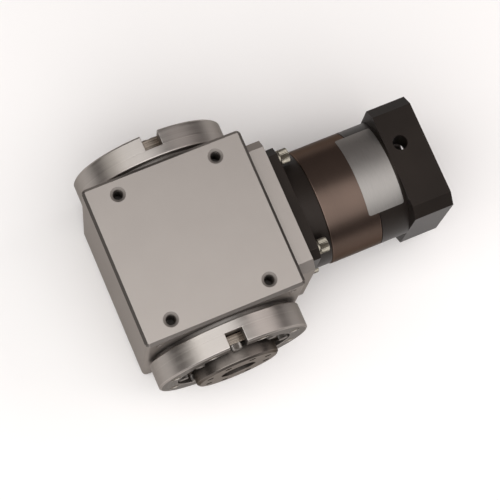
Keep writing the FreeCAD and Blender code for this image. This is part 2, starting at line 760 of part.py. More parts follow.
def tooth_outline(pitch_radius, teeth, tip, root, play, turn):
    """Closed outline of a spur gear: flanks as arcs through involute points, straight tips and roots."""
    base = pitch_radius * cos(radians(float(s.pressure_angle)))
    foot = max(base, root)
    middle = (foot + tip) / 2
    edges = []
    for index in range(teeth):
        centre = turn + 2 * pi * index / teeth
        low, mid, high = (half_tooth(radius, pitch_radius, teeth, play) for radius in (foot, middle, tip))
        left = [polar(root, centre - low), polar(foot, centre - low), polar(middle, centre - mid),
                polar(tip, centre - high)]
        right = [polar(tip, centre + high), polar(middle, centre + mid), polar(foot, centre + low),
                 polar(root, centre + low)]
        if foot > root:
            edges.append(Part.LineSegment(left[0], left[1]).toShape())
        edges.append(Part.Arc(left[1], left[2], left[3]).toShape())
        edges.append(Part.LineSegment(left[3], right[0]).toShape())
        edges.append(Part.Arc(right[0], right[1], right[2]).toShape())
        if foot > root:
            edges.append(Part.LineSegment(right[2], right[3]).toShape())
        following = centre + 2 * pi / teeth
        edges.append(Part.LineSegment(right[3], polar(root, following - low)).toShape())
    return Part.Wire(edges)


def solid_node(label, frame, shape):
    """A node whose shape comes from a formula."""
    feature = doc.addObject("Part::Feature", label)
    feature.Label = label
    feature.Shape = shape
    place(feature, frame)
    NODES.append(feature)
    return feature


def revolved(corners):
    """A solid of revolution about Z from (along, radius) corners."""
    points = [Vector(float(radius), 0, float(along)) for along, radius in corners]
    return Part.Face(Part.makePolygon(points + points[:1])).revolve(Vector(), Vector(0, 0, 1), 360)


def cylinder(radius, start, end, centre=Vector()):
    """A cylinder along Z through centre."""
    return Part.makeCylinder(float(radius), float(end) - float(start), centre + Vector(0, 0, float(start)))


def spur_gear(teeth, start, end, turn, centre=Vector()):
    """A spur gear of the planetary stage, its axis along Z through centre."""
    module = float(s.gear_module)
    pitch = module * teeth / 2
    tip = pitch + module * float(s.addendum_share)
    root = pitch - module * float(s.dedendum_share)
    wire = tooth_outline(pitch, teeth, tip, root, float(s.tooth_play), turn)
    wire.translate(centre + Vector(0, 0, float(start)))
    return Part.Face(wire).extrude(Vector(0, 0, float(end) - float(start)))


def make_ring_gear():
    """Steel ring with internal teeth, chamfered rims and holes for the tie screws."""
    module = float(s.gear_module)
    tip = float(ring_pitch) - module * float(s.addendum_share)
    # A tooth of the ring faces each planet's space when a planet has an even number of teeth
    half_pitch = pi / RING_TEETH if PLANET_TEETH % 2 == 0 else 0.0
    spaces = tooth_outline(float(ring_pitch), RING_TEETH, float(ring_root), tip, -float(s.tooth_play),
                           half_pitch)
    spaces.translate(Vector(0, 0, float(ring_start)))
    skin = Part.Wire(Part.makeCircle(float(ring_radius), Vector(0, 0, float(ring_start))))
    holes = []
    count = int(float(s.tie_screw_count))
    for index in range(count):
        turn = radians(float(s.tie_screw_turn)) + 2 * pi * index / count
        spot = polar(float(tie_circle), turn) + Vector(0, 0, float(ring_start))
        holes.append(Part.Wire(Part.makeCircle(float(s.small_hole), spot)))
    face = Part.makeFace([skin, spaces] + holes, "Part::FaceMakerBullseye")
    ring = face.extrude(Vector(0, 0, float(s.ring_length)))
    rims = [edge for edge in ring.Edges if isinstance(edge.Curve, Part.Circle)
            and abs(edge.Curve.Radius - float(ring_radius)) < TOUCH]
    solid_node("ring_gear", "input", ring.makeChamfer(float(s.ring_chamfer), rims))


def bevel_cone(teeth, mate):
    """Pitch radius at the heel, its distance along the axis and the pitch angle of one bevel gear."""
    radius = float(s.bevel_module) * teeth / 2
    along = float(s.bevel_module) * mate / 2
    return radius, along, atan2(radius, along)


def cone_point(teeth, mate, rise, share=1.0):
    """A point (along, radius) at a height above the pitch cone, at the heel or scaled towards the apex."""
    radius, along, angle = bevel_cone(teeth, mate)
    return share * (along - rise * sin(angle)), share * (radius + rise * cos(angle))


def toe_share():
    """How far the toe of the bevel teeth lies from the apex, as a share of the heel's distance."""
    radius, along, _ = bevel_cone(int(float(s.pinion_teeth)), int(float(s.crown_teeth)))
    return 1 - float(s.bevel_face) / sqrt(radius ** 2 + along ** 2)


def bevel_teeth(teeth, mate, turn):
    """Straight bevel teeth about Z, drawn on the back cone at the heel and tapered towards the apex."""
    radius, along, angle = bevel_cone(teeth, mate)
    module = float(s.bevel_module)
    virtual = radius / cos(angle)
    virtual_teeth = teeth / cos(angle)
    tip = virtual + module * float(s.addendum_share)
    root = virtual - module * float(s.dedendum_share)
    base = virtual * cos(radians(float(s.pressure_angle)))
    foot = max(base, root)
    sunk = root - module / 4
    flank = [(sunk, foot), (foot, foot), ((foot + tip) / 2, (foot + tip) / 2), (tip, tip)]
    points = []
    for at, measured in flank:
        half = half_tooth(measured, virtual, virtual_teeth, float(s.tooth_play))
        points.append((at * sin(half), at * cos(half) - virtual))
    side = points + [(-u, v) for u, v in reversed(points)]
    heel = [Vector(radius + v * cos(angle), u, along - v * sin(angle)) for u, v in side]
    share = toe_share()
    wires = [Part.makePolygon([point * scale for point in heel + heel[:1]]) for scale in (share, 1.0)]
    tooth = Part.makeLoft(wires, True, True)
    solids = []
    for index in range(teeth):
        copy = tooth.copy()
        copy.rotate(Vector(), Vector(0, 0, 1), turn + 360.0 * index / teeth)
        solids.append(copy)
    return solids


pinion_teeth = int(float(s.pinion_teeth))
crown_teeth = int(float(s.crown_teeth))
bevel_root = -float(s.bevel_module * s.dedendum_share)
crown_back = cone_point(crown_teeth, pinion_teeth, bevel_root - float(s.crown_back))
crown_hub_end = as_length(crown_back[0]) + s.crown_hub_length
key_end = crown_hub_end - s.end_gap
key_start = key_end - s.key_length


def make_crown_gear():
    """Bevel gear on the output hub; a space between its teeth faces the pinion."""
    heel = cone_point(crown_teeth, pinion_teeth, bevel_root)
    toe = cone_point(crown_teeth, pinion_teeth, bevel_root, toe_share())
    bore = s.shaft_radius + s.fit_gap
    hub = s.shaft_radius + s.crown_hub_wall
    blank = revolved([(toe[0], bore), toe, heel, crown_back, (crown_back[0], hub), (crown_hub_end, hub),
                      (crown_hub_end, bore)])
    gear = blank.multiFuse(bevel_teeth(crown_teeth, pinion_teeth, 180.0 / crown_teeth)).removeSplitter()
    length = float(crown_hub_end - toe[0])
    slot = Part.makeBox(float(s.shaft_radius + s.key_rise), float(s.key_width), length,
                        Vector(0, -float(s.key_width) / 2, toe[0]))
    bore_core = cylinder(bore, toe[0], crown_hub_end)
    solid_node("crown_gear", "output", gear.cut(slot).cut(bore_core))


def make_pinion():
    """Bevel pinion in one piece with its shaft; a tooth points along -Y into the crown gear."""
    heel = cone_point(pinion_teeth, crown_teeth, bevel_root)
    toe = cone_point(pinion_teeth, crown_teeth, bevel_root, toe_share())
    collar = s.pinion_journal + s.pinion_collar_step
    shaft = revolved([
        (toe[0], ZERO), toe, heel, (heel[0], collar), (front_cup_start, collar),
        (front_cup_start, s.pinion_journal), (pinion_nut_end, s.pinion_journal),
        (pinion_nut_end, s.carrier_journal), (pinion_end, s.carrier_journal), (pinion_end, ZERO)])
    shaft = shaft.multiFuse(bevel_teeth(pinion_teeth, crown_teeth, -90.0)).removeSplitter()
    tapped = cylinder(s.large_shank + s.fit_gap, pinion_nut_end, pinion_end)
    solid_node("pinion_shaft", "input", shaft.cut(tapped))


def make_pinion_bearings():
    """Races, spacers and lock nut of the pinion shaft."""
    cup_inner = s.pinion_seat - s.pinion_race_wall
    cup_outer = s.pinion_seat - s.fit_gap
    cone_inner = s.pinion_journal + s.fit_gap
    cone_outer = s.pinion_journal + s.pinion_race_wall
    for name, start, end in (("front", front_cup_start, front_cup_end),
                             ("rear", rear_cup_start, rear_cup_end)):
        tube(f"pinion_bearing_{name}_cup", "input", start, end, cup_inner, cup_outer)
        tube(f"pinion_bearing_{name}_cone", "input", start, end, cone_inner, cone_outer)
    tube("pinion_cup_spacer", "input", front_cup_end, rear_cup_start, cup_inner, cup_outer)
    tube("pinion_cone_spacer", "input", front_cup_end, rear_cup_start, cone_inner, cone_outer)
    tube("pinion_lock_nut", "input", rear_cup_end, pinion_nut_end, cone_inner,
         s.pinion_journal + s.pinion_nut_wall)


def make_planets():
    """Carrier with its pins and screw, and three planets turning on the pins."""
    bore = s.carrier_journal + s.fit_gap
    body = turned("planet_carrier", "input", [
        (carrier_hub_start, bore), (carrier_hub_start, s.carrier_journal + s.carrier_hub_wall),
        (carrier_start, s.carrier_journal + s.carrier_hub_wall), (carrier_start, s.carrier_radius),
        (carrier_end, s.carrier_radius), (carrier_end, s.large_head + s.head_room),
        (carrier_screw_seat, s.large_head + s.head_room), (carrier_screw_seat, s.large_shank + s.fit_gap),
        (pinion_end, s.large_shank + s.fit_gap), (pinion_end, bore)])
    pins = as_length(PLANETS)
    hole_ring(body, carrier_end, planet_circle, pins, s.pin_radius + s.fit_gap, None)
    body = new_body("planet_pins", "input")
    sketch = new_sketch(body, "XY_Plane", carrier_start)
    ring_line(sketch, planet_circle, ZERO, s.pin_radius)
    head_start = planet_end + s.end_gap / 2
    stem = pad(body, sketch, head_start - carrier_start)
    sketch = new_sketch(body, "XY_Plane", head_start)
    ring_line(sketch, planet_circle, ZERO, s.pin_head_radius)
    around(body, [stem, pad(body, sketch, s.pin_head)], pins)
    body = turned("carrier_screw", "input", [
        (pinion_nut_end + s.end_gap, ZERO), (pinion_nut_end + s.end_gap, s.large_shank),
        (carrier_screw_seat, s.large_shank), (carrier_screw_seat, s.large_head),
        (carrier_screw_seat + s.large_head_height, s.large_head),
        (carrier_screw_seat + s.large_head_height, ZERO)])
    sketch = new_sketch(body, "XY_Plane", carrier_screw_seat + s.large_head_height)
    hexagon(sketch, ZERO, ZERO, s.large_socket)
    pocket(body, sketch, s.large_head_height * s.socket_depth_share)
    for index in range(PLANETS):
        turn = 2 * pi * index / PLANETS
        # A space of each planet faces the sun's tooth on the line of centres
        centre = polar(float(planet_circle), turn)
        gear = spur_gear(PLANET_TEETH, planet_start, planet_end, turn + pi - pi / PLANET_TEETH, centre)
        gear = gear.cut(cylinder(s.pin_radius + s.running_gap, planet_start, planet_end, centre))
        solid_node(f"planet_gear_{index + 1}", "input", gear)


def make_stage_flange():
    """Black square flange with its round neck, corner screws with washers, and the long tie screws."""
    body = turned("stage_flange", "input", [
        (rear_cup_end, stage_bore), (rear_cup_end, s.pinion_seat - s.fit_gap),
        (pad_face, s.pinion_seat - s.fit_gap), (pad_face, neck_radius), (ring_start, neck_radius),
        (ring_start, stage_cavity),
        (stage_web_end, stage_cavity), (stage_web_end, stage_bore)])
    sketch = new_sketch(body, "XY_Plane", pad_face)
    outline(sketch, cut_rectangle(s.plate_half, s.plate_half, s.plate_cut))
    ring_line(sketch, ZERO, ZERO, stage_cavity)
    pad(body, sketch, s.plate_thickness)
    hole_ring(body, plate_face, stage_screw_circle, s.stage_screw_count, s.middle_hole, s.plate_thickness,
              start=CORNER_ANGLE)
    hole_ring(body, pad_face, tie_circle, s.tie_screw_count, sunk_head_radius, sunk_head_depth, upwards=True,
              start=s.tie_screw_turn)
    hole_ring(body, pad_face, tie_circle, s.tie_screw_count, s.small_hole, s.stage_length, upwards=True,
              start=s.tie_screw_turn)
    washer_end = plate_face + s.washer_thickness
    cap_screws("stage_screws", "input", stage_screw_circle, s.stage_screw_count, washer_end, MIDDLE_SCREW,
               s.washer_thickness + s.plate_thickness + s.stage_thread, start=CORNER_ANGLE)
    body = new_body("stage_washers", "input")
    sketch = new_sketch(body, "XY_Plane", plate_face)
    spread = stage_screw_circle.along_x(CORNER_ANGLE)
    ring_line(sketch, spread, spread, s.middle_head)
    ring_line(sketch, spread, spread, s.middle_shank + s.fit_gap)
    around(body, [pad(body, sketch, s.washer_thickness)], s.stage_screw_count)
    seat = pad_face + sunk_head_depth
    cap_screws("tie_screws", "input", tie_circle, s.tie_screw_count, seat, SMALL_SCREW,
               ring_end - seat + s.tie_thread, start=s.tie_screw_turn, inwards=False)


def make_motor_adapter():
    """Black adapter: round neck, square block with cut corners, stepped bore, motor holes, access hole."""
    body = new_body("motor_adapter", "input")
    sketch = new_sketch(body, "XY_Plane", ring_end)
    ring_line(sketch, ZERO, ZERO, ring_radius)
    pad(body, sketch, s.adapter_neck)
    sketch = new_sketch(body, "XY_Plane", block_start)
    outline(sketch, cut_rectangle(s.block_half, s.block_half, s.block_cut))
    pad(body, sketch, s.block_length)
    lip = s.input_bearing_outer - s.input_lip_height
    turn_section(body, "PartDesign::Groove", [
        (ring_end, ZERO), (ring_end, s.input_bearing_outer), (input_cup_end, s.input_bearing_outer),
        (input_cup_end, lip), (input_seal_start, lip), (input_seal_start, s.input_seal_outer),
        (input_seal_end, s.input_seal_outer), (input_seal_end, s.cavity_radius),
        (pilot_floor, s.cavity_radius), (pilot_floor, s.pilot_radius), (adapter_face, s.pilot_radius),
        (adapter_face, ZERO)])
    hole_ring(body, ring_end, tie_circle, s.tie_screw_count, s.small_shank + s.fit_gap,
              s.tie_thread + s.end_gap, upwards=True, start=s.tie_screw_turn)
    hole_ring(body, adapter_face, s.motor_hole_circle, s.motor_hole_count, s.motor_hole_radius,
              s.motor_hole_depth, start=CORNER_ANGLE)
    sketch = new_sketch(body, "YZ_Plane")
    ring_line(sketch, clamp_offset, clamp_along, s.access_radius)
    pocket(body, sketch)
    tube("input_bearing_cup", "input", input_cup_start, input_cup_end,
         s.input_bearing_outer - s.input_race_wall, s.input_bearing_outer - s.fit_gap)
    seal("input_seal", "input", input_seal_start, s.input_seal_width, s.input_journal + s.seal_gap,
         s.input_seal_outer - s.fit_gap)


def make_sun_shaft():
    """Sun pinion in one piece with its shaft and slotted sleeve, with the collar that clamps the motor."""
    start = carrier_end + s.sun_overhang
    teeth_end = planet_end + s.sun_overhang
    shoulder = s.input_journal + s.input_shoulder_step
    shoulder_start = input_cup_start - s.input_shoulder
    bore_floor = input_seal_end + s.sleeve_floor
    shaft = revolved([
        (start, ZERO), (start, s.sun_neck_radius), (shoulder_start, s.sun_neck_radius),
        (shoulder_start, shoulder), (input_cup_start, shoulder), (input_cup_start, s.input_journal),
        (input_seal_end, s.input_journal),
        (input_seal_end, sleeve_radius), (sleeve_mouth, sleeve_radius), (sleeve_mouth, s.motor_shaft_radius),
        (bore_floor, s.motor_shaft_radius), (bore_floor, ZERO)])
    gear = spur_gear(SUN_TEETH, start, teeth_end, 0.0)
    slit_start = bore_floor + s.sleeve_floor
    slit = Part.makeBox(float(s.slit_width), float(sleeve_radius * 2), float(sleeve_mouth - slit_start),
                        Vector(-float(s.slit_width) / 2, -float(sleeve_radius), float(slit_start)))
    solid_node("sun_shaft", "input", shaft.fuse(gear).cut(slit))
    tube("input_bearing_cone", "input", input_cup_start, input_cup_end, s.input_journal + s.fit_gap,
         s.input_journal + s.input_race_wall)
    make_clamp()


def make_clamp():
    """Slit collar on the sleeve, and its screw under the access hole."""
    skin = sqrt(float(s.collar_outer) ** 2 - float(clamp_offset) ** 2)
    seat = as_length(float(s.small_head_height) - skin)
    half = s.collar_width / 2
    body = tube("clamp_collar", "input", clamp_along - half, clamp_along + half, sleeve_radius + s.fit_gap,
                s.collar_outer)
    sketch = new_sketch(body, "XY_Plane", clamp_along + half)
    gap = s.collar_slit / 2
    outline(sketch, [(gap, ZERO), (gap, s.collar_outer + gap), (-gap, s.collar_outer + gap), (-gap, ZERO)])
    pocket(body, sketch, s.collar_width)
    sketch = new_sketch(body, "YZ_Plane", seat)
    ring_line(sketch, clamp_offset, clamp_along, s.small_head + s.head_room)
    pocket(body, sketch)
    sketch = new_sketch(body, "YZ_Plane")
    ring_line(sketch, clamp_offset, clamp_along, s.small_shank + s.fit_gap)
    pocket(body, sketch, both_ways=True)
    body = new_body("clamp_screw", "input")
    sketch = new_sketch(body, "YZ_Plane", seat)
    ring_line(sketch, clamp_offset, clamp_along, s.small_shank)
    pad(body, sketch, -seat * 2 - s.small_head_height)
    sketch = new_sketch(body, "YZ_Plane", seat - s.small_head_height)
    ring_line(sketch, clamp_offset, clamp_along, s.small_head)
    pad(body, sketch, s.small_head_height)
    sketch = new_sketch(body, "YZ_Plane", seat - s.small_head_height)
    hexagon(sketch, clamp_offset, clamp_along, s.small_socket)
    pocket(body, sketch, s.small_head_height * s.socket_depth_share, upwards=True)


def make_nameplate():
    """Thin bare plate bent round the ring gear and the adapter's neck."""
    start = ring_end - s.nameplate_start
    inner = ring_radius + s.fit_gap
    sweep = float(s.nameplate_to - s.nameplate_from)
    corners = [(start, inner), (start, inner + s.nameplate_thickness),
               (start + s.nameplate_width, inner + s.nameplate_thickness), (start + s.nameplate_width, inner)]
    # In the input frame +Y is at 90 degrees and +Z at 180
    edge_angle = radians(90 + float(s.nameplate_from))
    points = [polar(float(radius), edge_angle) + Vector(0, 0, float(along)) for along, radius in corners]
    plate = Part.Face(Part.makePolygon(points + points[:1])).revolve(Vector(), Vector(0, 0, 1), sweep)
    solid_node("nameplate", "input", plate)


make_housing()
make_output_end()
make_rear_end()
make_output_hub()
make_crown_gear()
make_pinion()
make_pinion_bearings()
make_stage_flange()
make_ring_gear()
make_planets()
make_motor_adapter()
make_sun_shaft()
make_nameplate()
doc.recompute()

# Every object has to be sound, and every cut has to take metal away
for thing in doc.Objects:
    if "Invalid" in thing.State or "Error" in thing.State:
        raise RuntimeError(f"{thing.Label} failed: {thing.State}")
    if thing.TypeId in ("PartDesign::Pocket", "PartDesign::Groove"):
        if thing.Shape.Volume > thing.BaseFeature.Shape.Volume - TOUCH:
            raise RuntimeError(f"{thing.Label} cuts nothing")
for node in NODES:
    if node.Shape.isNull() or not node.Shape.isValid():
        raise RuntimeError(f"{node.Label} has no sound shape")

os.makedirs("parts", exist_ok=True)
for node in NODES:
    node.Shape.exportStep(f"parts/{node.Label}.step")
print(len(NODES), "nodes", sum(len(node.Shape.Solids) for node in NODES), "solids")
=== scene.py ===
import json
import math

import bmesh
import bpy
from bpy.props import FloatProperty, FloatVectorProperty, IntProperty, PointerProperty
from mathutils import Matrix, Vector


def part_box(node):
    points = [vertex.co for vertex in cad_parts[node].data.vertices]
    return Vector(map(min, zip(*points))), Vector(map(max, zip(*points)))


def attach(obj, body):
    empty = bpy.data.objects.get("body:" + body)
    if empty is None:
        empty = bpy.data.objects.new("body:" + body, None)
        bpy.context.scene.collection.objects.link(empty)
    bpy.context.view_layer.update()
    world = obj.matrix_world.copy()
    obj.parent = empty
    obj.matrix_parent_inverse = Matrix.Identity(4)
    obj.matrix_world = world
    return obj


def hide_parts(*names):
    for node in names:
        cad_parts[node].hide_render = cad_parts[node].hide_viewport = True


bl_info = {
    "name": "Disc output reducer",
    "version": (1, 0, 0),
    "blender": (4, 5, 0),
    "location": "View3D > Sidebar > Reducer",
    "description": "Dresses the packed right-angle reducer with its finishes, fasteners and small parts",
    "category": "Object",
}

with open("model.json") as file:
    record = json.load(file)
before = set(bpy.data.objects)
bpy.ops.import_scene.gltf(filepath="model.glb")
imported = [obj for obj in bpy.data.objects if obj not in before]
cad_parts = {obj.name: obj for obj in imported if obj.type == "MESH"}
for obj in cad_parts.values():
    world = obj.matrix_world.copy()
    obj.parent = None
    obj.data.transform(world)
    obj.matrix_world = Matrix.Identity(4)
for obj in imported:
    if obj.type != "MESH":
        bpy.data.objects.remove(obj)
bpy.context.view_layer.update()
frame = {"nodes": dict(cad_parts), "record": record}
NODES = frame["nodes"]
RECORD = frame["record"]
BODY_OF = {node: body for body, nodes in RECORD["behaviour"]["bodies"].items() for node in nodes}
MOUNTS = {mount["name"]: mount for mount in RECORD["mounts"]}

# The input and output axes cross here, in metres
CROSSING = Vector((0, 0, 0.055))
ALONG_INPUT = Vector((1, 0, 0))
ALONG_OUTPUT = Vector((0, -1, 0))
ALONG_REAR = Vector((0, 1, 0))
UP = Vector((0, 0, 1))
MM = 0.001

# Limits for the meshes: points nearer than these are one, and flat faces bend no more than this
SAME_POINT = 1e-7
SAME_CAD_POINT = 2e-6
FLAT_BEND = math.radians(0.6)
# Slack in comparing places, and how squarely a flat end face, or any front face, looks along its axis
SLACK = 0.01 * MM
SQUARELY = 0.99
FORWARD = 0.5
# Cut faces get half the mark of a broken edge, so that their borders stay crisp too
HALF_MARK = 0.5


class FinishSettings(bpy.types.PropertyGroup):
    """Colours of the finishes."""

    blasted: FloatVectorProperty(
        name="Blasted aluminium", description="Cube of the reducer", subtype="COLOR",
        default=(0.3504, 0.3195, 0.2965), min=0, max=1)
    turned: FloatVectorProperty(
        name="Turned aluminium", description="Collars", subtype="COLOR",
        default=(0.3673, 0.3407, 0.3186), min=0, max=1)
    black: FloatVectorProperty(
        name="Black anodising", description="Stage flange and motor adapter", subtype="COLOR",
        default=(0.009735, 0.007522, 0.006195), min=0, max=1)
    gunmetal: FloatVectorProperty(
        name="Browned steel", description="Ring gear", subtype="COLOR",
        default=(0.1062, 0.07611, 0.06195), min=0, max=1)
    disc: FloatVectorProperty(
        name="Disc steel", description="Output disc", subtype="COLOR",
        default=(0.1394, 0.1239, 0.1115), min=0, max=1)
    steel: FloatVectorProperty(
        name="Ground steel", description="Shafts, gears, races and the retainer's screws", subtype="COLOR",
        default=(0.2655, 0.2478, 0.2319), min=0, max=1)
    oiled: FloatVectorProperty(
        name="Oiled steel", description="Retainer and rear cover", subtype="COLOR",
        default=(0.185, 0.156, 0.13), min=0, max=1)
    oxide: FloatVectorProperty(
        name="Black oxide", description="Screws of the rear cover", subtype="COLOR",
        default=(0.09292, 0.07965, 0.06637), min=0, max=1)
    zinc: FloatVectorProperty(
        name="Zinc plating", description="Other cap screws, and the washers", subtype="COLOR",
        default=(0.265, 0.242, 0.2), min=0, max=1)
    rubber: FloatVectorProperty(
        name="Seal rubber", description="Shaft seals", subtype="COLOR",
        default=(0.016, 0.016, 0.017), min=0, max=1)
    plate: FloatVectorProperty(
        name="Nameplate", description="Bare brushed plate", subtype="COLOR",
        default=(0.2743, 0.2611, 0.2478), min=0, max=1)


class FastenerSettings(bpy.types.PropertyGroup):
    """Small forms of screws, washers and threads."""

    knurls: IntProperty(
        name="Knurls", description="Ridges round a cap screw's head", default=30, min=12, max=60)
    knurl_depth: FloatProperty(
        name="Knurl depth", description="Depth between two ridges", default=0.0005, unit="LENGTH")
    head_edge: FloatProperty(
        name="Head edge", description="Rounding at the top of a head", default=0.0004, unit="LENGTH")
    washer_split: FloatProperty(
        name="Washer split", description="Gap of a spring washer", default=0.0009, unit="LENGTH")
    thread_rise: FloatProperty(
        name="Thread rise", description="Height of the ridges in a tapped hole", default=0.0003,
        unit="LENGTH")


class EdgeSettings(bpy.types.PropertyGroup):
    """Broken edges of the machined pieces."""

    cast: FloatProperty(
        name="Cube edges", description="Rounding of the cube's edges", default=0.0004, unit="LENGTH")
    turned: FloatProperty(
        name="Turned edges", description="Rounding of turned and milled edges", default=0.00025,
        unit="LENGTH")
    sharp_angle: FloatProperty(
        name="Sharp angle", description="Edges sharper than this are rounded", subtype="ANGLE",
        default=math.radians(28))
    crisp_angle: FloatProperty(
        name="Crisp angle", description="Edges sharper than this aren't shaded over", subtype="ANGLE",
        default=math.radians(35))


class StageSettings(bpy.types.PropertyGroup):
    """Floor, light and camera."""

    floor: FloatVectorProperty(
        name="Floor", description="Pale studio floor", subtype="COLOR",
        default=(0.9, 0.885, 0.876), min=0, max=1)
    world: FloatProperty(
        name="Fill light", description="Strength of the light from all round", default=0.085)
    key: FloatProperty(
        name="Key light", description="Power of the round soft box overhead", default=51.0, unit="POWER")
    side: FloatProperty(
        name="Side light", description="Power of the soft box at +X", default=6.2, unit="POWER")
    left: FloatProperty(
        name="Left light", description="Power of the soft box at -X", default=2.5, unit="POWER")
    back: FloatProperty(
        name="Back light", description="Power of the weak soft box behind", default=1.6, unit="POWER")
    lens: FloatProperty(
        name="Lens", description="Focal length on a 36 mm sensor", default=129.52)


def fasteners():
    """The small forms of fasteners."""
    return bpy.context.scene.reducer_fasteners


def edges():
    """The broken edges."""
    return bpy.context.scene.reducer_edges


# Materials

# Rough metal mirrors less at a flat angle than a polished one
GRAZING_TINT = (0.44, 0.425, 0.41, 1)
DISC_GRAZING_TINT = (0.32, 0.305, 0.29, 1)
# How much rougher a bare cut is than the blasted skin
CUT_ROUGHNESS = 0.25
# Black anodising mirrors weakly and with a warm tint
BLACK_SPECULAR = 0.195
BLACK_TINT = (1.0, 0.86, 0.79, 1)
# Brush marks of the nameplate run across X
BRUSH_STRETCH = (1.0, 0.03, 0.03)
# The finishes by name, which the first operator fills
FINISHES = {}


def start_material(name, metallic, roughness):
    """A new material with its nodes, its shader and a reader of object coordinates."""
    made = bpy.data.materials.new(name)
    made.use_nodes = True
    tree = made.node_tree
    shader = tree.nodes["Principled BSDF"]
    shader.inputs["Metallic"].default_value = metallic
    shader.inputs["Roughness"].default_value = roughness
    if metallic:
        shader.inputs["Specular Tint"].default_value = GRAZING_TINT
    place = tree.nodes.new("ShaderNodeTexCoord").outputs["Object"]
    return made, tree, shader, place


def noise(tree, vector, scale, detail=3.0, kind="3D"):
    """Noise on a vector; scale is in features per metre."""
    node = tree.nodes.new("ShaderNodeTexNoise")
    node.noise_dimensions = kind
    node.inputs["Scale"].default_value = scale
    node.inputs["Detail"].default_value = detail
    tree.links.new(vector, node.inputs["Vector"])
    return node.outputs["Fac"]


def spread(tree, value, low, high, source=(0.3, 0.7)):
    """A value spread between two numbers; source is the range it comes from."""
    node = tree.nodes.new("ShaderNodeMapRange")
    node.inputs["From Min"].default_value = source[0]
    node.inputs["From Max"].default_value = source[1]
    node.inputs["To Min"].default_value = low
    node.inputs["To Max"].default_value = high
    tree.links.new(value, node.inputs["Value"])
    return node.outputs["Result"]


def blend(tree, share, first, second):
    """A mix of two colours or sockets."""
    node = tree.nodes.new("ShaderNodeMix")
    node.data_type = "RGBA"
    tree.links.new(share, node.inputs["Factor"])
    for socket, item in ((node.inputs[6], first), (node.inputs[7], second)):
        if isinstance(item, bpy.types.NodeSocket):
            tree.links.new(item, socket)
        else:
            socket.default_value = (*item, 1)
    return node.outputs[2]


def shade(colour, share):
    """A colour made lighter or darker."""
    return tuple(min(1.0, part * share) for part in colour)


def mottled(tree, value, colour, dark, light):
    """A colour that varies with a noise value between two shades of itself."""
    return blend(tree, spread(tree, value, 0, 1), shade(colour, dark), shade(colour, light))


def marked(tree, name):
    """Reads a mark that the mesh carries on its faces."""
    mark = tree.nodes.new("ShaderNodeAttribute")
    mark.attribute_name = name
    return mark.outputs["Fac"]


def tone_marks(tree, tint, colour, shares):
    """Gives each kind of marked face its own shade of a colour."""
    for mark, share in shares.items():
        tint = blend(tree, marked(tree, mark), tint, shade(colour, share))
    return tint


def relief(tree, shader, height, strength, depth):
    """Fine relief on the surface."""
    node = tree.nodes.new("ShaderNodeBump")
    node.inputs["Strength"].default_value = strength
    node.inputs["Distance"].default_value = depth
    tree.links.new(height, node.inputs["Height"])
    tree.links.new(node.outputs["Normal"], shader.inputs["Normal"])


def finish_surface(tree, shader, tint, rough):
    """Leads a colour and a roughness into the shader."""
    tree.links.new(tint, shader.inputs["Base Color"])
    tree.links.new(rough, shader.inputs["Roughness"])


def turning_vector(tree, place, axis, rings):
    """Radius times rings and distance along an axis through the crossing, so that tool marks run round it."""
    shift = tree.nodes.new("ShaderNodeVectorMath")
    shift.operation = "SUBTRACT"
    shift.inputs[1].default_value = CROSSING
    tree.links.new(place, shift.inputs[0])
    part = tree.nodes.new("ShaderNodeSeparateXYZ")
    tree.links.new(shift.outputs[0], part.inputs[0])
    names = {"X": ("Y", "Z"), "Y": ("X", "Z")}[axis]
    flat = tree.nodes.new("ShaderNodeCombineXYZ")
    tree.links.new(part.outputs[names[0]], flat.inputs["X"])
    tree.links.new(part.outputs[names[1]], flat.inputs["Y"])
    radius = tree.nodes.new("ShaderNodeVectorMath")
    radius.operation = "LENGTH"
    tree.links.new(flat.outputs[0], radius.inputs[0])
    both = tree.nodes.new("ShaderNodeCombineXYZ")
    tree.links.new(radius.outputs["Value"], both.inputs["X"])
    tree.links.new(part.outputs[axis], both.inputs["Y"])
    fit = tree.nodes.new("ShaderNodeMapping")
    fit.inputs["Scale"].default_value = (rings, 1, 1)
    tree.links.new(both.outputs[0], fit.inputs["Vector"])
    return fit.outputs["Vector"]


def blasted_aluminium(colour):
    """Even grey blasted aluminium with a dense grain, rougher in its hole mouths, with painted shade there,
    on hole walls and chamfers.
    """
    made, tree, shader, place = start_material("blasted_aluminium", metallic=1.0, roughness=0.5)
    grain = noise(tree, place, scale=3200, detail=4)
    cloud = noise(tree, place, scale=45)
    tint = mottled(tree, grain, colour, dark=0.93, light=1.06)
    tint = blend(tree, spread(tree, cloud, low=0, high=0.35), tint, shade(colour, 1.08))
    # Painted shade in the hole mouths, on the hole walls and on the chamfers
    tint = tone_marks(tree, tint, colour,
                      {"broken_edge": 0.82, "milled_chamfer": 0.42, "hole_wall": 0.8, "bare_cut": 0.75})
    rough = tree.nodes.new("ShaderNodeMath")
    rough.operation = "MULTIPLY_ADD"
    rough.inputs[1].default_value = CUT_ROUGHNESS
    tree.links.new(marked(tree, "bare_cut"), rough.inputs[0])
    tree.links.new(spread(tree, grain, low=0.40, high=0.52), rough.inputs[2])
    finish_surface(tree, shader, tint, rough.outputs[0])
    relief(tree, shader, grain, strength=0.25, depth=0.06 * MM)
    return made


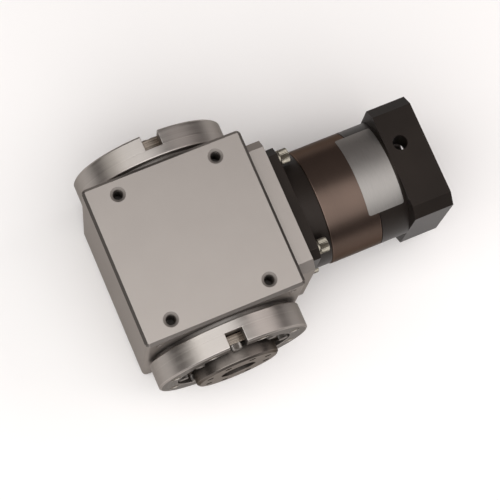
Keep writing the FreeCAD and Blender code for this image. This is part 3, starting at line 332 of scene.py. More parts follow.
def turned_metal(name, colour, axis, roughness, groove, shades, detail=2, contrast=0.08, rings=1.0,
                 patches=0.12, grazing=GRAZING_TINT):
    """Metal with tool marks that run round an axis.

    Groove is in marks per metre and contrast says how strong they are. Rings packs them closer on flat faces.
    Patches is the strength of dark clouds. Shades has the shade of each kind of marked face."""
    made, tree, shader, place = start_material(name, metallic=1.0, roughness=roughness)
    shader.inputs["Specular Tint"].default_value = grazing
    marks = noise(tree, turning_vector(tree, place, axis, rings), groove, detail, "2D")
    cloud = noise(tree, place, scale=60)
    tint = mottled(tree, marks, colour, dark=1 - contrast, light=1 + contrast)
    tint = blend(tree, spread(tree, cloud, low=0, high=patches), tint, shade(colour, 0.7))
    tint = tone_marks(tree, tint, colour, shades)
    finish_surface(tree, shader, tint, spread(tree, marks, low=roughness - 0.05, high=roughness + 0.07))
    relief(tree, shader, marks, strength=0.16, depth=0.04 * MM)
    return made


def black_anodised(colour):
    """Satin black anodising with a faint grain, rubbed lighter on its edges."""
    made, tree, shader, place = start_material("black_anodised", metallic=0.0, roughness=0.42)
    shader.inputs["Specular IOR Level"].default_value = BLACK_SPECULAR
    shader.inputs["Specular Tint"].default_value = BLACK_TINT
    grain = noise(tree, place, scale=2600)
    cloud = noise(tree, place, scale=38, detail=4)
    tint = mottled(tree, cloud, colour, dark=0.85, light=1.25)
    tint = tone_marks(tree, tint, colour, {"broken_edge": 2.6})
    finish_surface(tree, shader, tint, spread(tree, grain, low=0.36, high=0.5))
    relief(tree, shader, grain, strength=0.18, depth=0.05 * MM)
    return made


def plated_steel(name, colour, low=0.24, high=0.38):
    """Bright metal of screws and threads, with faint clouds; low and high limit its roughness."""
    made, tree, shader, place = start_material(name, metallic=1.0, roughness=0.3)
    cloud = noise(tree, place, scale=420)
    fine = noise(tree, place, scale=4200, detail=2)
    tint = mottled(tree, cloud, colour, dark=0.86, light=1.08)
    finish_surface(tree, shader, tint, spread(tree, fine, low, high))
    relief(tree, shader, fine, strength=0.1, depth=0.03 * MM)
    return made


def soft_rubber(colour):
    """Matt seal rubber."""
    made, tree, shader, place = start_material("seal_rubber", metallic=0.0, roughness=0.6)
    grain = noise(tree, place, scale=2400)
    tint = mottled(tree, grain, colour, dark=0.8, light=1.3)
    finish_surface(tree, shader, tint, spread(tree, grain, low=0.52, high=0.68))
    relief(tree, shader, grain, strength=0.15, depth=0.05 * MM)
    return made


def brushed_plate(colour):
    """Plate brushed lengthwise round the neck."""
    made, tree, shader, place = start_material("brushed_plate", metallic=1.0, roughness=0.36)
    streak = tree.nodes.new("ShaderNodeMapping")
    streak.inputs["Scale"].default_value = BRUSH_STRETCH
    tree.links.new(place, streak.inputs["Vector"])
    marks = noise(tree, streak.outputs["Vector"], scale=5200)
    tint = mottled(tree, marks, colour, dark=0.9, light=1.07)
    finish_surface(tree, shader, tint, spread(tree, marks, low=0.43, high=0.55))
    relief(tree, shader, marks, strength=0.12, depth=0.03 * MM)
    return made


# Meshes


def place_piece(name, bm, material, node, replaces=True):
    """Makes a mesh into a piece that rides with a node's body and, if asked, stands for that node."""
    mesh = bpy.data.meshes.new(name)
    bm.to_mesh(mesh)
    bm.free()
    mesh.materials.append(material)
    piece = bpy.data.objects.new(name, mesh)
    bpy.context.scene.collection.objects.link(piece)
    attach(piece, BODY_OF[node])
    if replaces:
        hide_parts(node)
    return piece


def dress(node, material):
    """Gives a CAD node its finish."""
    mesh = NODES[node].data
    mesh.materials.clear()
    mesh.materials.append(material)


def smooth_over(bm, borders=()):
    """Smooths the shading over gentle edges; border edges stay crisp, so flat faces keep an even shade."""
    for face in bm.faces:
        face.smooth = True
    for line in bm.edges:
        line.smooth = line.is_manifold and line.calc_face_angle() < edges().crisp_angle
    for line in borders:
        line.smooth = False


def merged_copy(node):
    """A copy of a CAD node's mesh with its triangles joined and its flat faces made whole."""
    bm = bmesh.new()
    bm.from_mesh(NODES[node].data)
    bmesh.ops.remove_doubles(bm, verts=bm.verts, dist=SAME_CAD_POINT)
    bmesh.ops.dissolve_limit(bm, angle_limit=FLAT_BEND, verts=bm.verts, edges=bm.edges)
    return bm


def broken_edges(node, material, width, shape=None, spared=None):
    """A piece made from a CAD node, with its sharp edges rounded and marked for the finish.

    The function shape may work on the mesh further, and edges that the function spared picks stay sharp."""
    bm = merged_copy(node)
    mark = bm.faces.layers.float.new("broken_edge")
    sharp = [edge for edge in bm.edges if edge.is_manifold and edge.calc_face_angle() > edges().sharp_angle]
    if spared:
        sharp = [edge for edge in sharp if not spared(edge)]
    made = bmesh.ops.bevel(bm, geom=sharp, offset=width, offset_type="OFFSET", segments=2, profile=0.5,
                           affect="EDGES", clamp_overlap=True, material=-1)
    for face in made["faces"]:
        face[mark] = 1.0
    if shape:
        shape(bm)
    borders = [edge for edge in bm.edges if len({face[mark] for face in edge.link_faces}) == 2]
    smooth_over(bm, borders)
    return place_piece(node + "_finished", bm, material, node)


def mark_faces(mesh, name, chosen):
    """Marks the chosen faces for the finish."""
    mark = mesh.attributes.new(name, "FLOAT", "FACE")
    for face in mesh.polygons:
        if chosen(face):
            mark.data[face.index].value = 1.0


def mark_end_face(mesh, way):
    """Marks the outermost flat face of a turned piece, which has no rings of tool marks; on the collars it
    gets painted shade.
    """
    end = max(vert.co.dot(way) for vert in mesh.vertices) - SLACK
    mark_faces(mesh, "ground_face",
               lambda face: face.normal.dot(way) > SQUARELY and face.center.dot(way) > end)


def turn_to(axis):
    """Rotation that brings +Z onto an axis."""
    return UP.rotation_difference(axis).to_matrix().to_4x4()


def spun(profile, steps):
    """A turned shape about Z from (radius, height) points, open between the last point and the first."""
    bm = bmesh.new()
    verts = [bm.verts.new((radius, 0, height)) for radius, height in profile]
    lines = [bm.edges.new(pair) for pair in zip(verts, verts[1:])]
    bmesh.ops.spin(bm, geom=verts + lines, cent=(0, 0, 0), axis=(0, 0, 1), dvec=(0, 0, 0),
                   angle=math.tau, steps=steps, use_merge=True, use_duplicate=False)
    bmesh.ops.remove_doubles(bm, verts=bm.verts, dist=SAME_POINT)
    bmesh.ops.recalc_face_normals(bm, faces=bm.faces)
    return bm


def coil(section, angle, rise, steps):
    """A closed section of (radius, height) points that goes round Z and rises, with both ends filled."""
    bm = bmesh.new()
    verts = [bm.verts.new((radius, 0, height)) for radius, height in section]
    lines = [bm.edges.new(pair) for pair in zip(verts, verts[1:] + verts[:1])]
    bmesh.ops.spin(bm, geom=verts + lines, cent=(0, 0, 0), axis=(0, 0, 1), dvec=(0, 0, rise / steps),
                   angle=angle, steps=steps, use_merge=False, use_duplicate=False)
    bmesh.ops.holes_fill(bm, edges=[line for line in bm.edges if line.is_boundary], sides=0)
    bmesh.ops.recalc_face_normals(bm, faces=bm.faces)
    return bm


# Sockets of the cap screws: radius of the flat top's hole per half width, and depth per height of the head
SOCKET_RIM = 1.42
SOCKET_DEPTH = 0.5


def cap_screw(shank, head, height, socket, length):
    """A knurled socket screw about Z: its head stands on z = 0, its shank runs down.

    The small steps of its profile are shares of the head's edge."""
    setting = fasteners()
    edge = setting.head_edge
    steps = setting.knurls * 2
    bm = spun([(0, -length), (shank - edge, -length), (shank, -length + edge), (shank, 0),
               (head - edge / 2, 0), (head, edge / 2), (head, height - edge * 1.6),
               (head - edge * 0.5, height - edge * 0.5), (head - edge * 1.6, height),
               (socket * SOCKET_RIM, height)], steps)
    low, high = edge * 0.4, height - edge * 1.4
    sides = [vert for vert in bm.verts if low < vert.co.z < high and vert.co.xy.length > head - edge * 0.2]
    for vert in sides:
        column = round(math.atan2(vert.co.y, vert.co.x) / math.tau * steps)
        if column % 2:
            vert.co.xy *= (head - setting.knurl_depth) / head
    ring = [line for line in bm.edges if line.is_boundary]
    made = bmesh.ops.create_circle(bm, segments=6, radius=socket / math.cos(math.pi / 6),
                                   matrix=Matrix.Translation((0, 0, height - edge * 0.7)))
    hexagon = list(dict.fromkeys(line for vert in made["verts"] for line in vert.link_edges))
    bmesh.ops.bridge_loops(bm, edges=ring + hexagon)
    sunk = bmesh.ops.extrude_edge_only(bm, edges=hexagon)["geom"]
    floor = [item for item in sunk if isinstance(item, bmesh.types.BMVert)]
    bmesh.ops.translate(bm, verts=floor, vec=(0, 0, -height * SOCKET_DEPTH))
    bmesh.ops.contextual_create(bm, geom=[item for item in sunk if isinstance(item, bmesh.types.BMEdge)])
    bmesh.ops.recalc_face_normals(bm, faces=bm.faces)
    smooth_over(bm)
    return bm


# Turn from one copy to the next, so that sockets and splits don't line up, in radians
TWIST = 0.7


def set_out(source, spots, axis):
    """Copies of one mesh about Z at several spots, turned to an axis, in one mesh."""
    turned = turn_to(axis)
    whole = bmesh.new()
    for index, spot in enumerate(spots):
        single = source.copy()
        twist = Matrix.Rotation(index * TWIST, 4, "Z")
        bmesh.ops.transform(single, matrix=Matrix.Translation(spot) @ turned @ twist, verts=single.verts)
        mesh = bpy.data.meshes.new("single")
        single.to_mesh(mesh)
        single.free()
        whole.from_mesh(mesh)
        bpy.data.meshes.remove(mesh)
    source.free()
    return whole


def ring_spots(axis, along, circle, count, start):
    """Points on an even ring about an axis through the crossing; start is in degrees."""
    first, second = {tuple(ALONG_INPUT): (-UP, ALONG_REAR),
                     tuple(ALONG_OUTPUT): (ALONG_INPUT, UP),
                     tuple(ALONG_REAR): (ALONG_INPUT, -UP)}[tuple(axis)]
    spots = []
    for index in range(count):
        angle = math.radians(start) + math.tau * index / count
        across = first * math.cos(angle) + second * math.sin(angle)
        spots.append(CROSSING + axis * along + across * circle)
    return spots


def mount_spots(mount, axis, start):
    """Places of a mount's ring of holes."""
    claim = MOUNTS[mount]
    along = (Vector(claim["pos_m"]) - CROSSING).dot(axis)
    return ring_spots(axis, along, claim["dims"]["pcd_mm"] * MM / 2, claim["dims"]["count"], start)


# Threads in the tapped holes: depth, pitch and smooth mouth in millimetres
THREADS = {
    "top_threads": (16.5, 1.25, 0.1),
    "output_side_threads": (14.5, 1.0, 0.6),
    "disc_threads": (10.6, 0.8, 0.4),
    "motor_threads": (15.5, 1.0, 0.6),
}
THREAD_STEPS = 20


def thread_ridges(core, depth, pitch, mouth):
    """Helical ridges in a tapped hole about Z, from below its mouth down to its depth.

    The heights of their section are shares of the pitch."""
    rise = fasteners().thread_rise
    turns = int((depth - mouth) / pitch) - 1
    foot, crest = core + rise / 10, core - rise
    low = pitch * 0.1 - depth
    section = [(foot, low), (crest, low + pitch * 0.3), (crest, low + pitch * 0.42),
               (foot, low + pitch * 0.72)]
    bm = coil(section, math.tau * turns, pitch * turns, THREAD_STEPS * turns)
    smooth_over(bm)
    return bm


def place_threads(name, mount, spots, axis, material, node):
    """Thread ridges in the tapped holes of a mount, as a piece on its own."""
    sizes = [size * MM for size in THREADS[name]]
    ridge = thread_ridges(MOUNTS[mount]["dims"]["hole_r_mm"] * MM, *sizes)
    place_piece(name, set_out(ridge, spots, axis), material, node, replaces=False)


class REDUCER_OT_finishes(bpy.types.Operator):
    """Finishes that the other steps give to the pieces"""

    bl_idname = "reducer.finishes"
    bl_label = "Finishes"

    def execute(self, context):
        colours = context.scene.reducer_finish
        FINISHES["blasted"] = blasted_aluminium(colours.blasted)
        # The threads in the cube's holes are painted darker than the cube as painted shade
        FINISHES["cut"] = plated_steel("cut_threads", shade(colours.blasted, 0.7))
        # The collars' end faces and the relief next to the cube are painted darker as painted shade
        FINISHES["collar"] = turned_metal(
            "turned_aluminium", colours.turned, "Y", roughness=0.34, groove=1300, detail=6, contrast=0.06,
            shades={"broken_edge": 1.2, "ground_face": 0.57, "hole_wall": 0.4})
        FINISHES["gunmetal"] = turned_metal(
            "browned_steel", colours.gunmetal, "X", roughness=0.33, groove=4200, patches=0.3,
            shades={"broken_edge": 1.5})
        FINISHES["black"] = black_anodised(colours.black)
        # The disc's ground face is lighter than its turned side, whose darker colour is partly painted shade
        FINISHES["disc"] = turned_metal(
            "disc_steel", colours.disc, "Y", roughness=0.32, groove=6000, grazing=DISC_GRAZING_TINT,
            shades={"broken_edge": 1.3, "ground_face": 2.4, "hole_wall": 0.2})
        # The threads in the disc's holes are painted darker than the disc as painted shade
        FINISHES["disc_thread"] = plated_steel("disc_thread_steel", shade(colours.disc, 0.5))
        for name, axis in (("output_steel", "Y"), ("input_steel", "X")):
            FINISHES[name] = turned_metal(
                name, colours.steel, axis, roughness=0.3, groove=6000, shades={"broken_edge": 1.3})
        # The retainer's front face, in the recess under the collar, gets painted shade
        FINISHES["oiled"] = turned_metal(
            "oiled_steel", colours.oiled, "Y", roughness=0.26, groove=800, detail=4, contrast=0.6, rings=9.0,
            patches=0.4, shades={"broken_edge": 1.7, "ground_face": 1.0, "hole_wall": 0.3})
        FINISHES["zinc"] = plated_steel("zinc_plating", colours.zinc, low=0.25, high=0.37)
        FINISHES["oxide"] = plated_steel("black_oxide", colours.oxide)
        FINISHES["bright_steel"] = plated_steel(
            "screw_steel", shade(colours.steel, 1.15), low=0.34, high=0.46)
        FINISHES["rubber"] = soft_rubber(colours.rubber)
        FINISHES["plate"] = brushed_plate(colours.plate)
        return {"FINISHED"}


# Countersunk mouths of the plate's holes: radius, and slopes that tell a cone from its wall and the plate
MOUTH = 5.1 * MM
WALL_SLOPE = 0.3
PLATE_SLOPE = 0.97
# Chamfers of the cube get painted shade. Their heights from its base or top, distance from its middle,
# slopes, how far those that face X turn that way to get it in full, and the weaker painted shade of the
# others
CHAMFER_HEIGHTS = (0.3 * MM, 1.7 * MM)
CHAMFER_PLACE = 50 * MM
CHAMFER_SLOPES = (0.5, 0.9)
CHAMFER_TURN = 0.3
CHAMFER_WEAK_SHADE = 0.45


class REDUCER_OT_housing(bpy.types.Operator):
    """Blasted cube with broken edges and threads in its tapped holes"""

    bl_idname = "reducer.housing"
    bl_label = "Cube"

    def execute(self, context):
        cube = broken_edges("housing", FINISHES["blasted"], edges().cast, self.widen_mouths, self.at_mouth)
        self.mark_mouths(cube.data)
        self.paint_chamfer_shade(cube.data)
        for name, mount in (("top_threads", "top_holes"), ("output_side_threads", "output_side_holes")):
            claim = MOUNTS[mount]
            axis = Vector(claim["axis"])
            first, second = [step for step in (ALONG_INPUT, ALONG_REAR, UP) if not step.dot(axis)]
            first = first * (claim["dims"]["spacing_x_mm"] * MM / 2)
            second = second * (claim["dims"]["spacing_y_mm"] * MM / 2)
            middle = Vector(claim["pos_m"])
            spots = [middle + first * one + second * two for one in (1, -1) for two in (1, -1)]
            place_threads(name, mount, spots, axis, FINISHES["cut"], "housing")
        return {"FINISHED"}

    def from_hole(self, spot):
        """From the nearest tapped hole of the top plate to a point, seen from above."""
        claim = MOUNTS["top_holes"]["dims"]
        return Vector((spot.x - math.copysign(claim["spacing_x_mm"] * MM / 2, spot.x),
                       spot.y - math.copysign(claim["spacing_y_mm"] * MM / 2, spot.y)))

    def in_mouth(self, spot):
        """Whether a point lies in the mouth of such a hole or straight below it in the plate."""
        return spot.z >= CROSSING.z and self.from_hole(spot).length < MOUTH

    def at_mouth(self, edge):
        """Whether an edge belongs to a mouth."""
        return all(self.in_mouth(vert.co) for vert in edge.verts)

    def widen_mouths(self, bm):
        """Widens the countersunk mouths of the plate's holes."""
        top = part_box("housing")[1].z
        for vert in bm.verts:
            if self.in_mouth(vert.co) and vert.co.z > top - SLACK:
                away = self.from_hole(vert.co)
                vert.co.xy += away * (MOUTH / away.length - 1)
        bm.normal_update()
        mark = bm.faces.layers.float["broken_edge"]
        for face in bm.faces:
            if self.in_mouth(face.calc_center_median()) and WALL_SLOPE < face.normal.z < PLATE_SLOPE:
                face[mark] = HALF_MARK

    def mark_mouths(self, mesh):
        """Marks the cones of the mouths, which are rougher and get painted shade, and the walls below them,
        which get painted shade too.
        """
        mark_faces(mesh, "bare_cut",
                   lambda face: self.in_mouth(face.center) and abs(face.normal.z) >= WALL_SLOPE)
        mark_faces(mesh, "hole_wall",
                   lambda face: self.in_mouth(face.center) and abs(face.normal.z) < WALL_SLOPE)

    def paint_chamfer_shade(self, mesh):
        """Marks the chamfers round the top plate and the base for painted shade, full where they face X and
        weaker elsewhere.
        """
        low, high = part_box("housing")
        mark = mesh.attributes.new("milled_chamfer", "FLOAT", "FACE")
        for face in mesh.polygons:
            near = min(face.center.z - low.z, high.z - face.center.z)
            away = max(abs(face.center.x), abs(face.center.y))
            slanted = CHAMFER_SLOPES[0] < abs(face.normal.z) < CHAMFER_SLOPES[1]
            if slanted and away > CHAMFER_PLACE and CHAMFER_HEIGHTS[0] < near < CHAMFER_HEIGHTS[1]:
                mark.data[face.index].value = 1.0 if abs(face.normal.x) > CHAMFER_TURN else CHAMFER_WEAK_SHADE


# The outer skin of a collar lies beyond this radius
COLLAR_SKIN = 52.0 * MM
# The line scored round it: place along the output axis, half width and depth
SCORE_PLACE = 64.5 * MM
SCORE_HALF = 0.2 * MM
SCORE_DEPTH = 0.06 * MM
# The relief between a collar and the cube: least radius, and where it ends along the output axis
RELIEF_RADIUS = 40 * MM
RELIEF_END = 60 * MM


class REDUCER_OT_collars(bpy.types.Operator):
    """Turned collars and the closed rear cover"""

    bl_idname = "reducer.collars"
    bl_label = "Collars"

    def execute(self, context):
        for node, way in (("output_flange", ALONG_OUTPUT), ("rear_flange", ALONG_REAR)):
            collar = broken_edges(node, FINISHES["collar"], edges().turned,
                                  lambda bm: self.score(bm, SCORE_PLACE * way.y))
            # The collar's end face gets painted shade
            mark_end_face(collar.data, way)
            # Painted shade in the relief between the collar and the cube
            mark_faces(collar.data, "hole_wall", self.in_relief)
        cover = broken_edges("rear_cover", FINISHES["oiled"], edges().turned)
        mark_end_face(cover.data, ALONG_REAR)
        return {"FINISHED"}

    def in_relief(self, face):
        """Whether a face lies in the relief between a collar and the cube."""
        radius = (face.center - CROSSING).xz.length
        return RELIEF_RADIUS < radius < COLLAR_SKIN and abs(face.center.y) < RELIEF_END

    def score(self, bm, along):
        """A fine turned line round the collar at the depth of its notch."""
        for shift in (-SCORE_HALF, 0, SCORE_HALF):
            faces = [face for face in bm.faces
                     if min((vert.co - CROSSING).xz.length for vert in face.verts) > COLLAR_SKIN]
            parts = dict.fromkeys(item for face in faces for item in (face, *face.edges, *face.verts))
            bmesh.ops.bisect_plane(bm, geom=list(parts), dist=SAME_POINT, plane_co=(0, along + shift, 0),
                                   plane_no=ALONG_REAR)
        for vert in bm.verts:
            out = vert.co - CROSSING
            if abs(out.y - along) < SCORE_HALF / 10 and out.xz.length > COLLAR_SKIN:
                share = 1 - SCORE_DEPTH / out.xz.length
                vert.co = CROSSING + Vector((out.x * share, out.y, out.z * share))
        bm.normal_update()
        mark = bm.faces.layers.float["broken_edge"]
        for face in bm.faces:
            middle = face.calc_center_median() - CROSSING
            if abs(middle.y - along) < SCORE_HALF and middle.xz.length > COLLAR_SKIN:
                face[mark] = HALF_MARK


# Cap screws: radius of the shank and of the head, height of the head and half width of the socket
SMALL = (2.0 * MM, 3.5 * MM, 4.0 * MM, 1.5 * MM)
MIDDLE = (3.0 * MM, 5.0 * MM, 6.0 * MM, 2.5 * MM)
# The stage flange's screws: circle in millimetres, number and start angle in degrees
STAGE_RING = (45.779, 4, 45.0)
# Each ring of screws: node, axis, seat in millimetres, then as above, size, shank length and finish
SCREW_RINGS = (
    ("output_flange_screws", ALONG_OUTPUT, 70.7, (45.0, 8, 22.5), SMALL, 24.7, "zinc"),
    ("rear_flange_screws", ALONG_REAR, 70.7, (45.0, 8, 22.5), SMALL, 24.7, "zinc"),
    ("retainer_screws", ALONG_OUTPUT, 71.0, (35.5, 8, 0.0), SMALL, 16.0, "bright_steel"),
    ("rear_cover_screws", ALONG_REAR, 70.5, (35.5, 8, 0.0), SMALL, 15.5, "oxide"),
    ("stage_screws", ALONG_INPUT, 76.0, STAGE_RING, MIDDLE, 21.3, "zinc"),
)


class REDUCER_OT_screws(bpy.types.Operator):
    """Knurled cap screws where they show, and the finish of the hidden screws"""

    bl_idname = "reducer.screws"
    bl_label = "Cap screws"

    def execute(self, context):
        for node, axis, seat, (circle, count, start), size, length, coat in SCREW_RINGS:
            spots = ring_spots(axis, seat * MM, circle * MM, count, start)
            bm = set_out(cap_screw(*size, length * MM), spots, axis)
            place_piece(node + "_knurled", bm, FINISHES[coat], node)
        low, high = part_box("clamp_screw")
        middle = (low + high) / 2
        head_height = SMALL[2]
        seat = Vector((middle.x, middle.y, high.z - head_height))
        bm = set_out(cap_screw(*SMALL, seat.z - low.z), [seat], UP)
        place_piece("clamp_screw_knurled", bm, FINISHES["zinc"], "clamp_screw")
        for node in ("tie_screws", "carrier_screw"):
            dress(node, FINISHES["zinc"])
        return {"FINISHED"}


# Spring washers: inner and outer radius, thickness, rise from end to end, rounding of the edges, steps round,
# and the angle that tells a sharp edge
WASHER_INNER = 3.1 * MM
WASHER_OUTER = 5.0 * MM
WASHER_THICK = 1.5 * MM
WASHER_RISE = 0.3 * MM
WASHER_EDGE = 0.15 * MM
WASHER_STEPS = 40
WASHER_SHARP = math.radians(60)


class REDUCER_OT_washers(bpy.types.Operator):
    """Split spring washers under the stage flange's screws"""

    bl_idname = "reducer.washers"
    bl_label = "Spring washers"

    def execute(self, context):
        gap = fasteners().washer_split / WASHER_OUTER
        section = [(WASHER_INNER, 0), (WASHER_OUTER, 0), (WASHER_OUTER, WASHER_THICK),
                   (WASHER_INNER, WASHER_THICK)]
        bm = coil(section, math.tau - gap, WASHER_RISE, WASHER_STEPS)
        sharp = [line for line in bm.edges if line.calc_face_angle(0) > WASHER_SHARP]
        bmesh.ops.bevel(bm, geom=sharp, offset=WASHER_EDGE, offset_type="OFFSET", segments=2, profile=0.5,
                        affect="EDGES", clamp_overlap=True, material=-1)
        smooth_over(bm)
        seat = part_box("stage_washers")[0].x
        circle, count, start = STAGE_RING
        spots = ring_spots(ALONG_INPUT, seat, circle * MM, count, start)
        place_piece("stage_washers_split", set_out(bm, spots, ALONG_INPUT), FINISHES["zinc"], "stage_washers")
        return {"FINISHED"}


class REDUCER_OT_disc(bpy.types.Operator):
    """Output disc with threads in its holes, and the retainer round it"""

    bl_idname = "reducer.disc"
    bl_label = "Output disc"

    def execute(self, context):
        hub = broken_edges("output_hub", FINISHES["disc"], edges().turned)
        claim = MOUNTS["disc_holes"]["dims"]
        spots = mount_spots("disc_holes", ALONG_OUTPUT, start=180 / claim["count"])
        reach = claim["hole_r_mm"] * MM + edges().turned
        # Painted shade on the walls of the disc's holes
        mark_faces(hub.data, "hole_wall",
                   lambda face: min((face.center - spot).xz.length for spot in spots) < reach)
        mark_end_face(hub.data, ALONG_OUTPUT)
        retainer = broken_edges("output_retainer", FINISHES["oiled"], edges().turned)
        # Painted shade on the retainer's front face, in the recess under the collar
        mark_faces(retainer.data, "hole_wall", lambda face: face.normal.dot(ALONG_OUTPUT) > FORWARD)
        place_threads("disc_threads", "disc_holes", spots, ALONG_OUTPUT, FINISHES["disc_thread"],
                      "output_hub")
        return {"FINISHED"}


class REDUCER_OT_seals(bpy.types.Operator):
    """Shaft seals"""

    bl_idname = "reducer.seals"
    bl_label = "Seals"

    def execute(self, context):
        for node in ("output_seal", "input_seal"):
            broken_edges(node, FINISHES["rubber"], edges().turned)
        return {"FINISHED"}


class REDUCER_OT_black_parts(bpy.types.Operator):
    """Black stage flange and motor adapter, with threads in the motor holes"""

    bl_idname = "reducer.black_parts"
    bl_label = "Black parts"

    def execute(self, context):
        for node in ("stage_flange", "motor_adapter"):
            broken_edges(node, FINISHES["black"], edges().turned)
        spots = mount_spots("motor_holes", ALONG_INPUT, start=45.0)
        place_threads("motor_threads", "motor_holes", spots, ALONG_INPUT, FINISHES["black"], "motor_adapter")
        return {"FINISHED"}


class REDUCER_OT_ring_gear(bpy.types.Operator):
    """Browned ring gear"""

    bl_idname = "reducer.ring_gear"
    bl_label = "Ring gear"

    def execute(self, context):
        broken_edges("ring_gear", FINISHES["gunmetal"], edges().turned)
        return {"FINISHED"}


# The nameplate: inner radius, thickness, first and last angle round the neck, corner radius and border width
NAMEPLATE_INNER = 40.055 * MM
NAMEPLATE_THICK = 0.22 * MM
NAMEPLATE_FIRST = math.radians(41.5)
NAMEPLATE_LAST = math.radians(130.5)
NAMEPLATE_CORNER = 1.6 * MM
NAMEPLATE_BORDER = 0.9 * MM
NAMEPLATE_STEPS = 28


class REDUCER_OT_nameplate(bpy.types.Operator):
    """Bare curved nameplate with rounded corners"""

    bl_idname = "reducer.nameplate"
    bl_label = "Nameplate"

    def execute(self, context):
        low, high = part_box("nameplate")
        width = NAMEPLATE_INNER * math.cos(NAMEPLATE_FIRST)
        height = CROSSING.z + NAMEPLATE_INNER * math.sin(NAMEPLATE_FIRST)
        bm = bmesh.new()
        ends = [bm.verts.new((x, width, height)) for x in (low.x, high.x)]
        line = bm.edges.new(ends)
        bmesh.ops.spin(bm, geom=ends + [line], cent=CROSSING, axis=ALONG_INPUT, dvec=(0, 0, 0),
                       angle=NAMEPLATE_LAST - NAMEPLATE_FIRST, steps=NAMEPLATE_STEPS, use_merge=False,
                       use_duplicate=False)
        corners = [vert for vert in bm.verts if len(vert.link_edges) == 2]
        bmesh.ops.bevel(bm, geom=corners, offset=NAMEPLATE_CORNER, offset_type="OFFSET", segments=4,
                        profile=0.5, affect="VERTICES", clamp_overlap=False, material=-1)
        bmesh.ops.recalc_face_normals(bm, faces=bm.faces)
        if sum(face.normal.dot(face.calc_center_median() - CROSSING) for face in bm.faces) < 0:
            bmesh.ops.reverse_faces(bm, faces=bm.faces)
        # The flush border keeps the shading of the field even up to the rounded corners
        bmesh.ops.inset_region(bm, faces=bm.faces, thickness=NAMEPLATE_BORDER, depth=0, use_boundary=True,
                               use_even_offset=True)
        bmesh.ops.solidify(bm, geom=bm.faces, thickness=-NAMEPLATE_THICK)
        bmesh.ops.recalc_face_normals(bm, faces=bm.faces)
        smooth_over(bm)
        place_piece("nameplate_bare", bm, FINISHES["plate"], "nameplate")
        return {"FINISHED"}


class REDUCER_OT_drive_train(bpy.types.Operator):
    """Finishes of the gears, shafts, races and the motor clamp"""

    bl_idname = "reducer.drive_train"
    bl_label = "Drive train"

    def execute(self, context):
        for node in ("crown_gear", "gear_key", "hub_spacer", "output_bearing_cone", "rear_bearing_cone",
                     "rear_lock_nut", "output_bearing_cup", "rear_bearing_cup"):
            dress(node, FINISHES["output_steel"])
        for node in ("pinion_shaft", "pinion_bearing_front_cone", "pinion_bearing_rear_cone",
                     "pinion_cone_spacer", "pinion_lock_nut", "planet_carrier", "planet_pins",
                     "planet_gear_1", "planet_gear_2", "planet_gear_3", "pinion_bearing_front_cup",
                     "pinion_bearing_rear_cup", "pinion_cup_spacer", "input_bearing_cup",
                     "input_bearing_cone"):
            dress(node, FINISHES["input_steel"])
        for node in ("sun_shaft", "clamp_collar"):
            broken_edges(node, FINISHES["input_steel"], edges().turned)
        return {"FINISHED"}


# The floor: half its side, and the distances between which its colour fades darker as a painted falloff of
# the light, in metres
FLOOR_HALF = 3.0
FLOOR_FADE = (0.32, 0.9)
FLOOR_PAINTED_FALLOFF = 0.4
FLOOR_SPECULAR = 0.1
# Soft boxes: setting with the power, place, aim, shape, size and tint
SOFT_BOXES = (
    ("key", (-0.40, -0.62, 1.46), (0.03, 0, 0.05), "DISK", 3.2, (1, 1, 1)),
    ("left", (-1.25, 0.55, 0.98), (0.0, 0, 0.05), "SQUARE", 1.0, (1, 0.975, 0.92)),
    ("side", (1.1, -0.25, 0.88), (0.05, 0, 0.05), "SQUARE", 1.1, (1, 0.945, 0.93)),
    ("back", (0.75, 1.0, 0.85), (0.05, 0, 0.05), "SQUARE", 1.6, (1, 0.95, 0.93)),
)
FILL_TINT = (1, 0.86, 0.83, 1)
# The camera's place and its right, up and back axes, from a perspective fit of the photograph
CAMERA_PLACE = (-0.148841, -0.224358, 1.219891)
CAMERA_AXES = (
    (0.91609315, -0.39378224, 0.07555726),
    (0.36917432, 0.90188474, 0.22430833),
    (-0.15647258, -0.17759353, 0.97158472),
)
CAMERA_SENSOR = 36
CAMERA_CLIP = (0.01, 20)


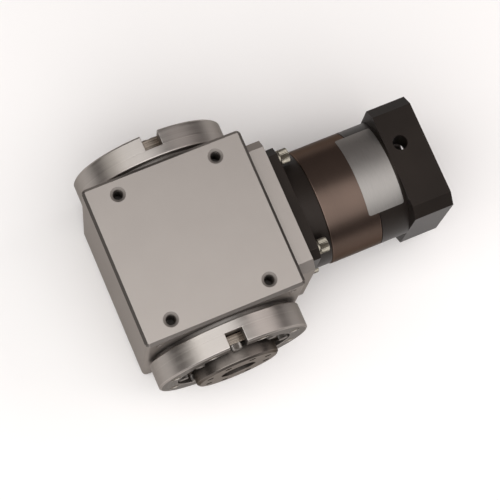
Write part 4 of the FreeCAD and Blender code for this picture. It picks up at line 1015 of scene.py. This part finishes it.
class REDUCER_OT_stage(bpy.types.Operator):
    """Pale floor, soft light and the camera"""

    bl_idname = "reducer.stage"
    bl_label = "Stage"

    def execute(self, context):
        setting = context.scene.reducer_stage
        self.floor(context, setting)
        self.lights(context, setting)
        self.camera(context, setting)
        context.scene.view_settings.view_transform = "Standard"
        return {"FINISHED"}

    def floor(self, context, setting):
        """A pale floor whose colour darkens far from the part, a painted falloff of the light."""
        bm = bmesh.new()
        bmesh.ops.create_grid(bm, x_segments=2, y_segments=2, size=FLOOR_HALF)
        mesh = bpy.data.meshes.new("floor")
        bm.to_mesh(mesh)
        bm.free()
        made, tree, shader, place = start_material("pale_floor", metallic=0.0, roughness=0.7)
        cloud = noise(tree, place, scale=3, detail=2)
        tint = blend(tree, cloud, shade(setting.floor, 0.985), setting.floor)
        reach = tree.nodes.new("ShaderNodeVectorMath")
        reach.operation = "LENGTH"
        tree.links.new(place, reach.inputs[0])
        # The colour darkens with distance from the part: a painted falloff of the light
        far = spread(tree, reach.outputs["Value"], low=0, high=1, source=FLOOR_FADE)
        tint = blend(tree, far, tint, shade(setting.floor, FLOOR_PAINTED_FALLOFF))
        tree.links.new(tint, shader.inputs["Base Color"])
        shader.inputs["Specular IOR Level"].default_value = FLOOR_SPECULAR
        mesh.materials.append(made)
        floor = bpy.data.objects.new("floor", mesh)
        context.scene.collection.objects.link(floor)

    def lights(self, context, setting):
        """Weak light from all round, and the soft boxes."""
        world = bpy.data.worlds.new("studio")
        world.use_nodes = True
        fill = world.node_tree.nodes["Background"]
        fill.inputs["Color"].default_value = FILL_TINT
        fill.inputs["Strength"].default_value = setting.world
        context.scene.world = world
        for name, spot, aim, shape, size, tint in SOFT_BOXES:
            lamp = bpy.data.lights.new(name + "_light", "AREA")
            lamp.shape = shape
            lamp.size = size
            lamp.energy = getattr(setting, name)
            lamp.color = tint
            holder = bpy.data.objects.new(name + "_light", lamp)
            holder.location = spot
            holder.rotation_euler = (Vector(aim) - Vector(spot)).to_track_quat("-Z", "Y").to_euler()
            context.scene.collection.objects.link(holder)

    def camera(self, context, setting):
        """The camera at the photograph's place."""
        lens = bpy.data.cameras.new("camera")
        lens.sensor_width = CAMERA_SENSOR
        lens.lens = setting.lens
        lens.clip_start, lens.clip_end = CAMERA_CLIP
        holder = bpy.data.objects.new("camera", lens)
        holder.location = CAMERA_PLACE
        holder.rotation_euler = Matrix(CAMERA_AXES).transposed().to_euler()
        context.scene.collection.objects.link(holder)
        context.scene.camera = holder


SETTINGS = {
    "reducer_finish": FinishSettings,
    "reducer_fasteners": FastenerSettings,
    "reducer_edges": EdgeSettings,
    "reducer_stage": StageSettings,
}
OPERATORS = (
    REDUCER_OT_finishes, REDUCER_OT_housing, REDUCER_OT_collars, REDUCER_OT_screws, REDUCER_OT_washers,
    REDUCER_OT_disc, REDUCER_OT_seals, REDUCER_OT_black_parts, REDUCER_OT_ring_gear, REDUCER_OT_nameplate,
    REDUCER_OT_drive_train, REDUCER_OT_stage,
)


class REDUCER_PT_panel(bpy.types.Panel):
    """Settings and steps of the reducer"""

    bl_idname = "REDUCER_PT_panel"
    bl_label = "Disc output reducer"
    bl_space_type = "VIEW_3D"
    bl_region_type = "UI"
    bl_category = "Reducer"

    def draw(self, context):
        for setting, group in SETTINGS.items():
            box = self.layout.box()
            for name in group.__annotations__:
                box.prop(getattr(context.scene, setting), name)
        for operator in OPERATORS:
            self.layout.operator(operator.bl_idname)


CLASSES = (*SETTINGS.values(), *OPERATORS, REDUCER_PT_panel)


def register():
    """Adds the classes and the scene's settings."""
    for item in CLASSES:
        bpy.utils.register_class(item)
    for name, group in SETTINGS.items():
        setattr(bpy.types.Scene, name, PointerProperty(type=group))


def unregister():
    """Takes them away again."""
    for name in SETTINGS:
        delattr(bpy.types.Scene, name)
    for item in reversed(CLASSES):
        bpy.utils.unregister_class(item)


def main():
    """Dresses the part."""
    register()
    for operator in OPERATORS:
        group, name = operator.bl_idname.split(".")
        getattr(getattr(bpy.ops, group), name)()
    bpy.context.view_layer.update()


if __name__ == "__main__":
    main()
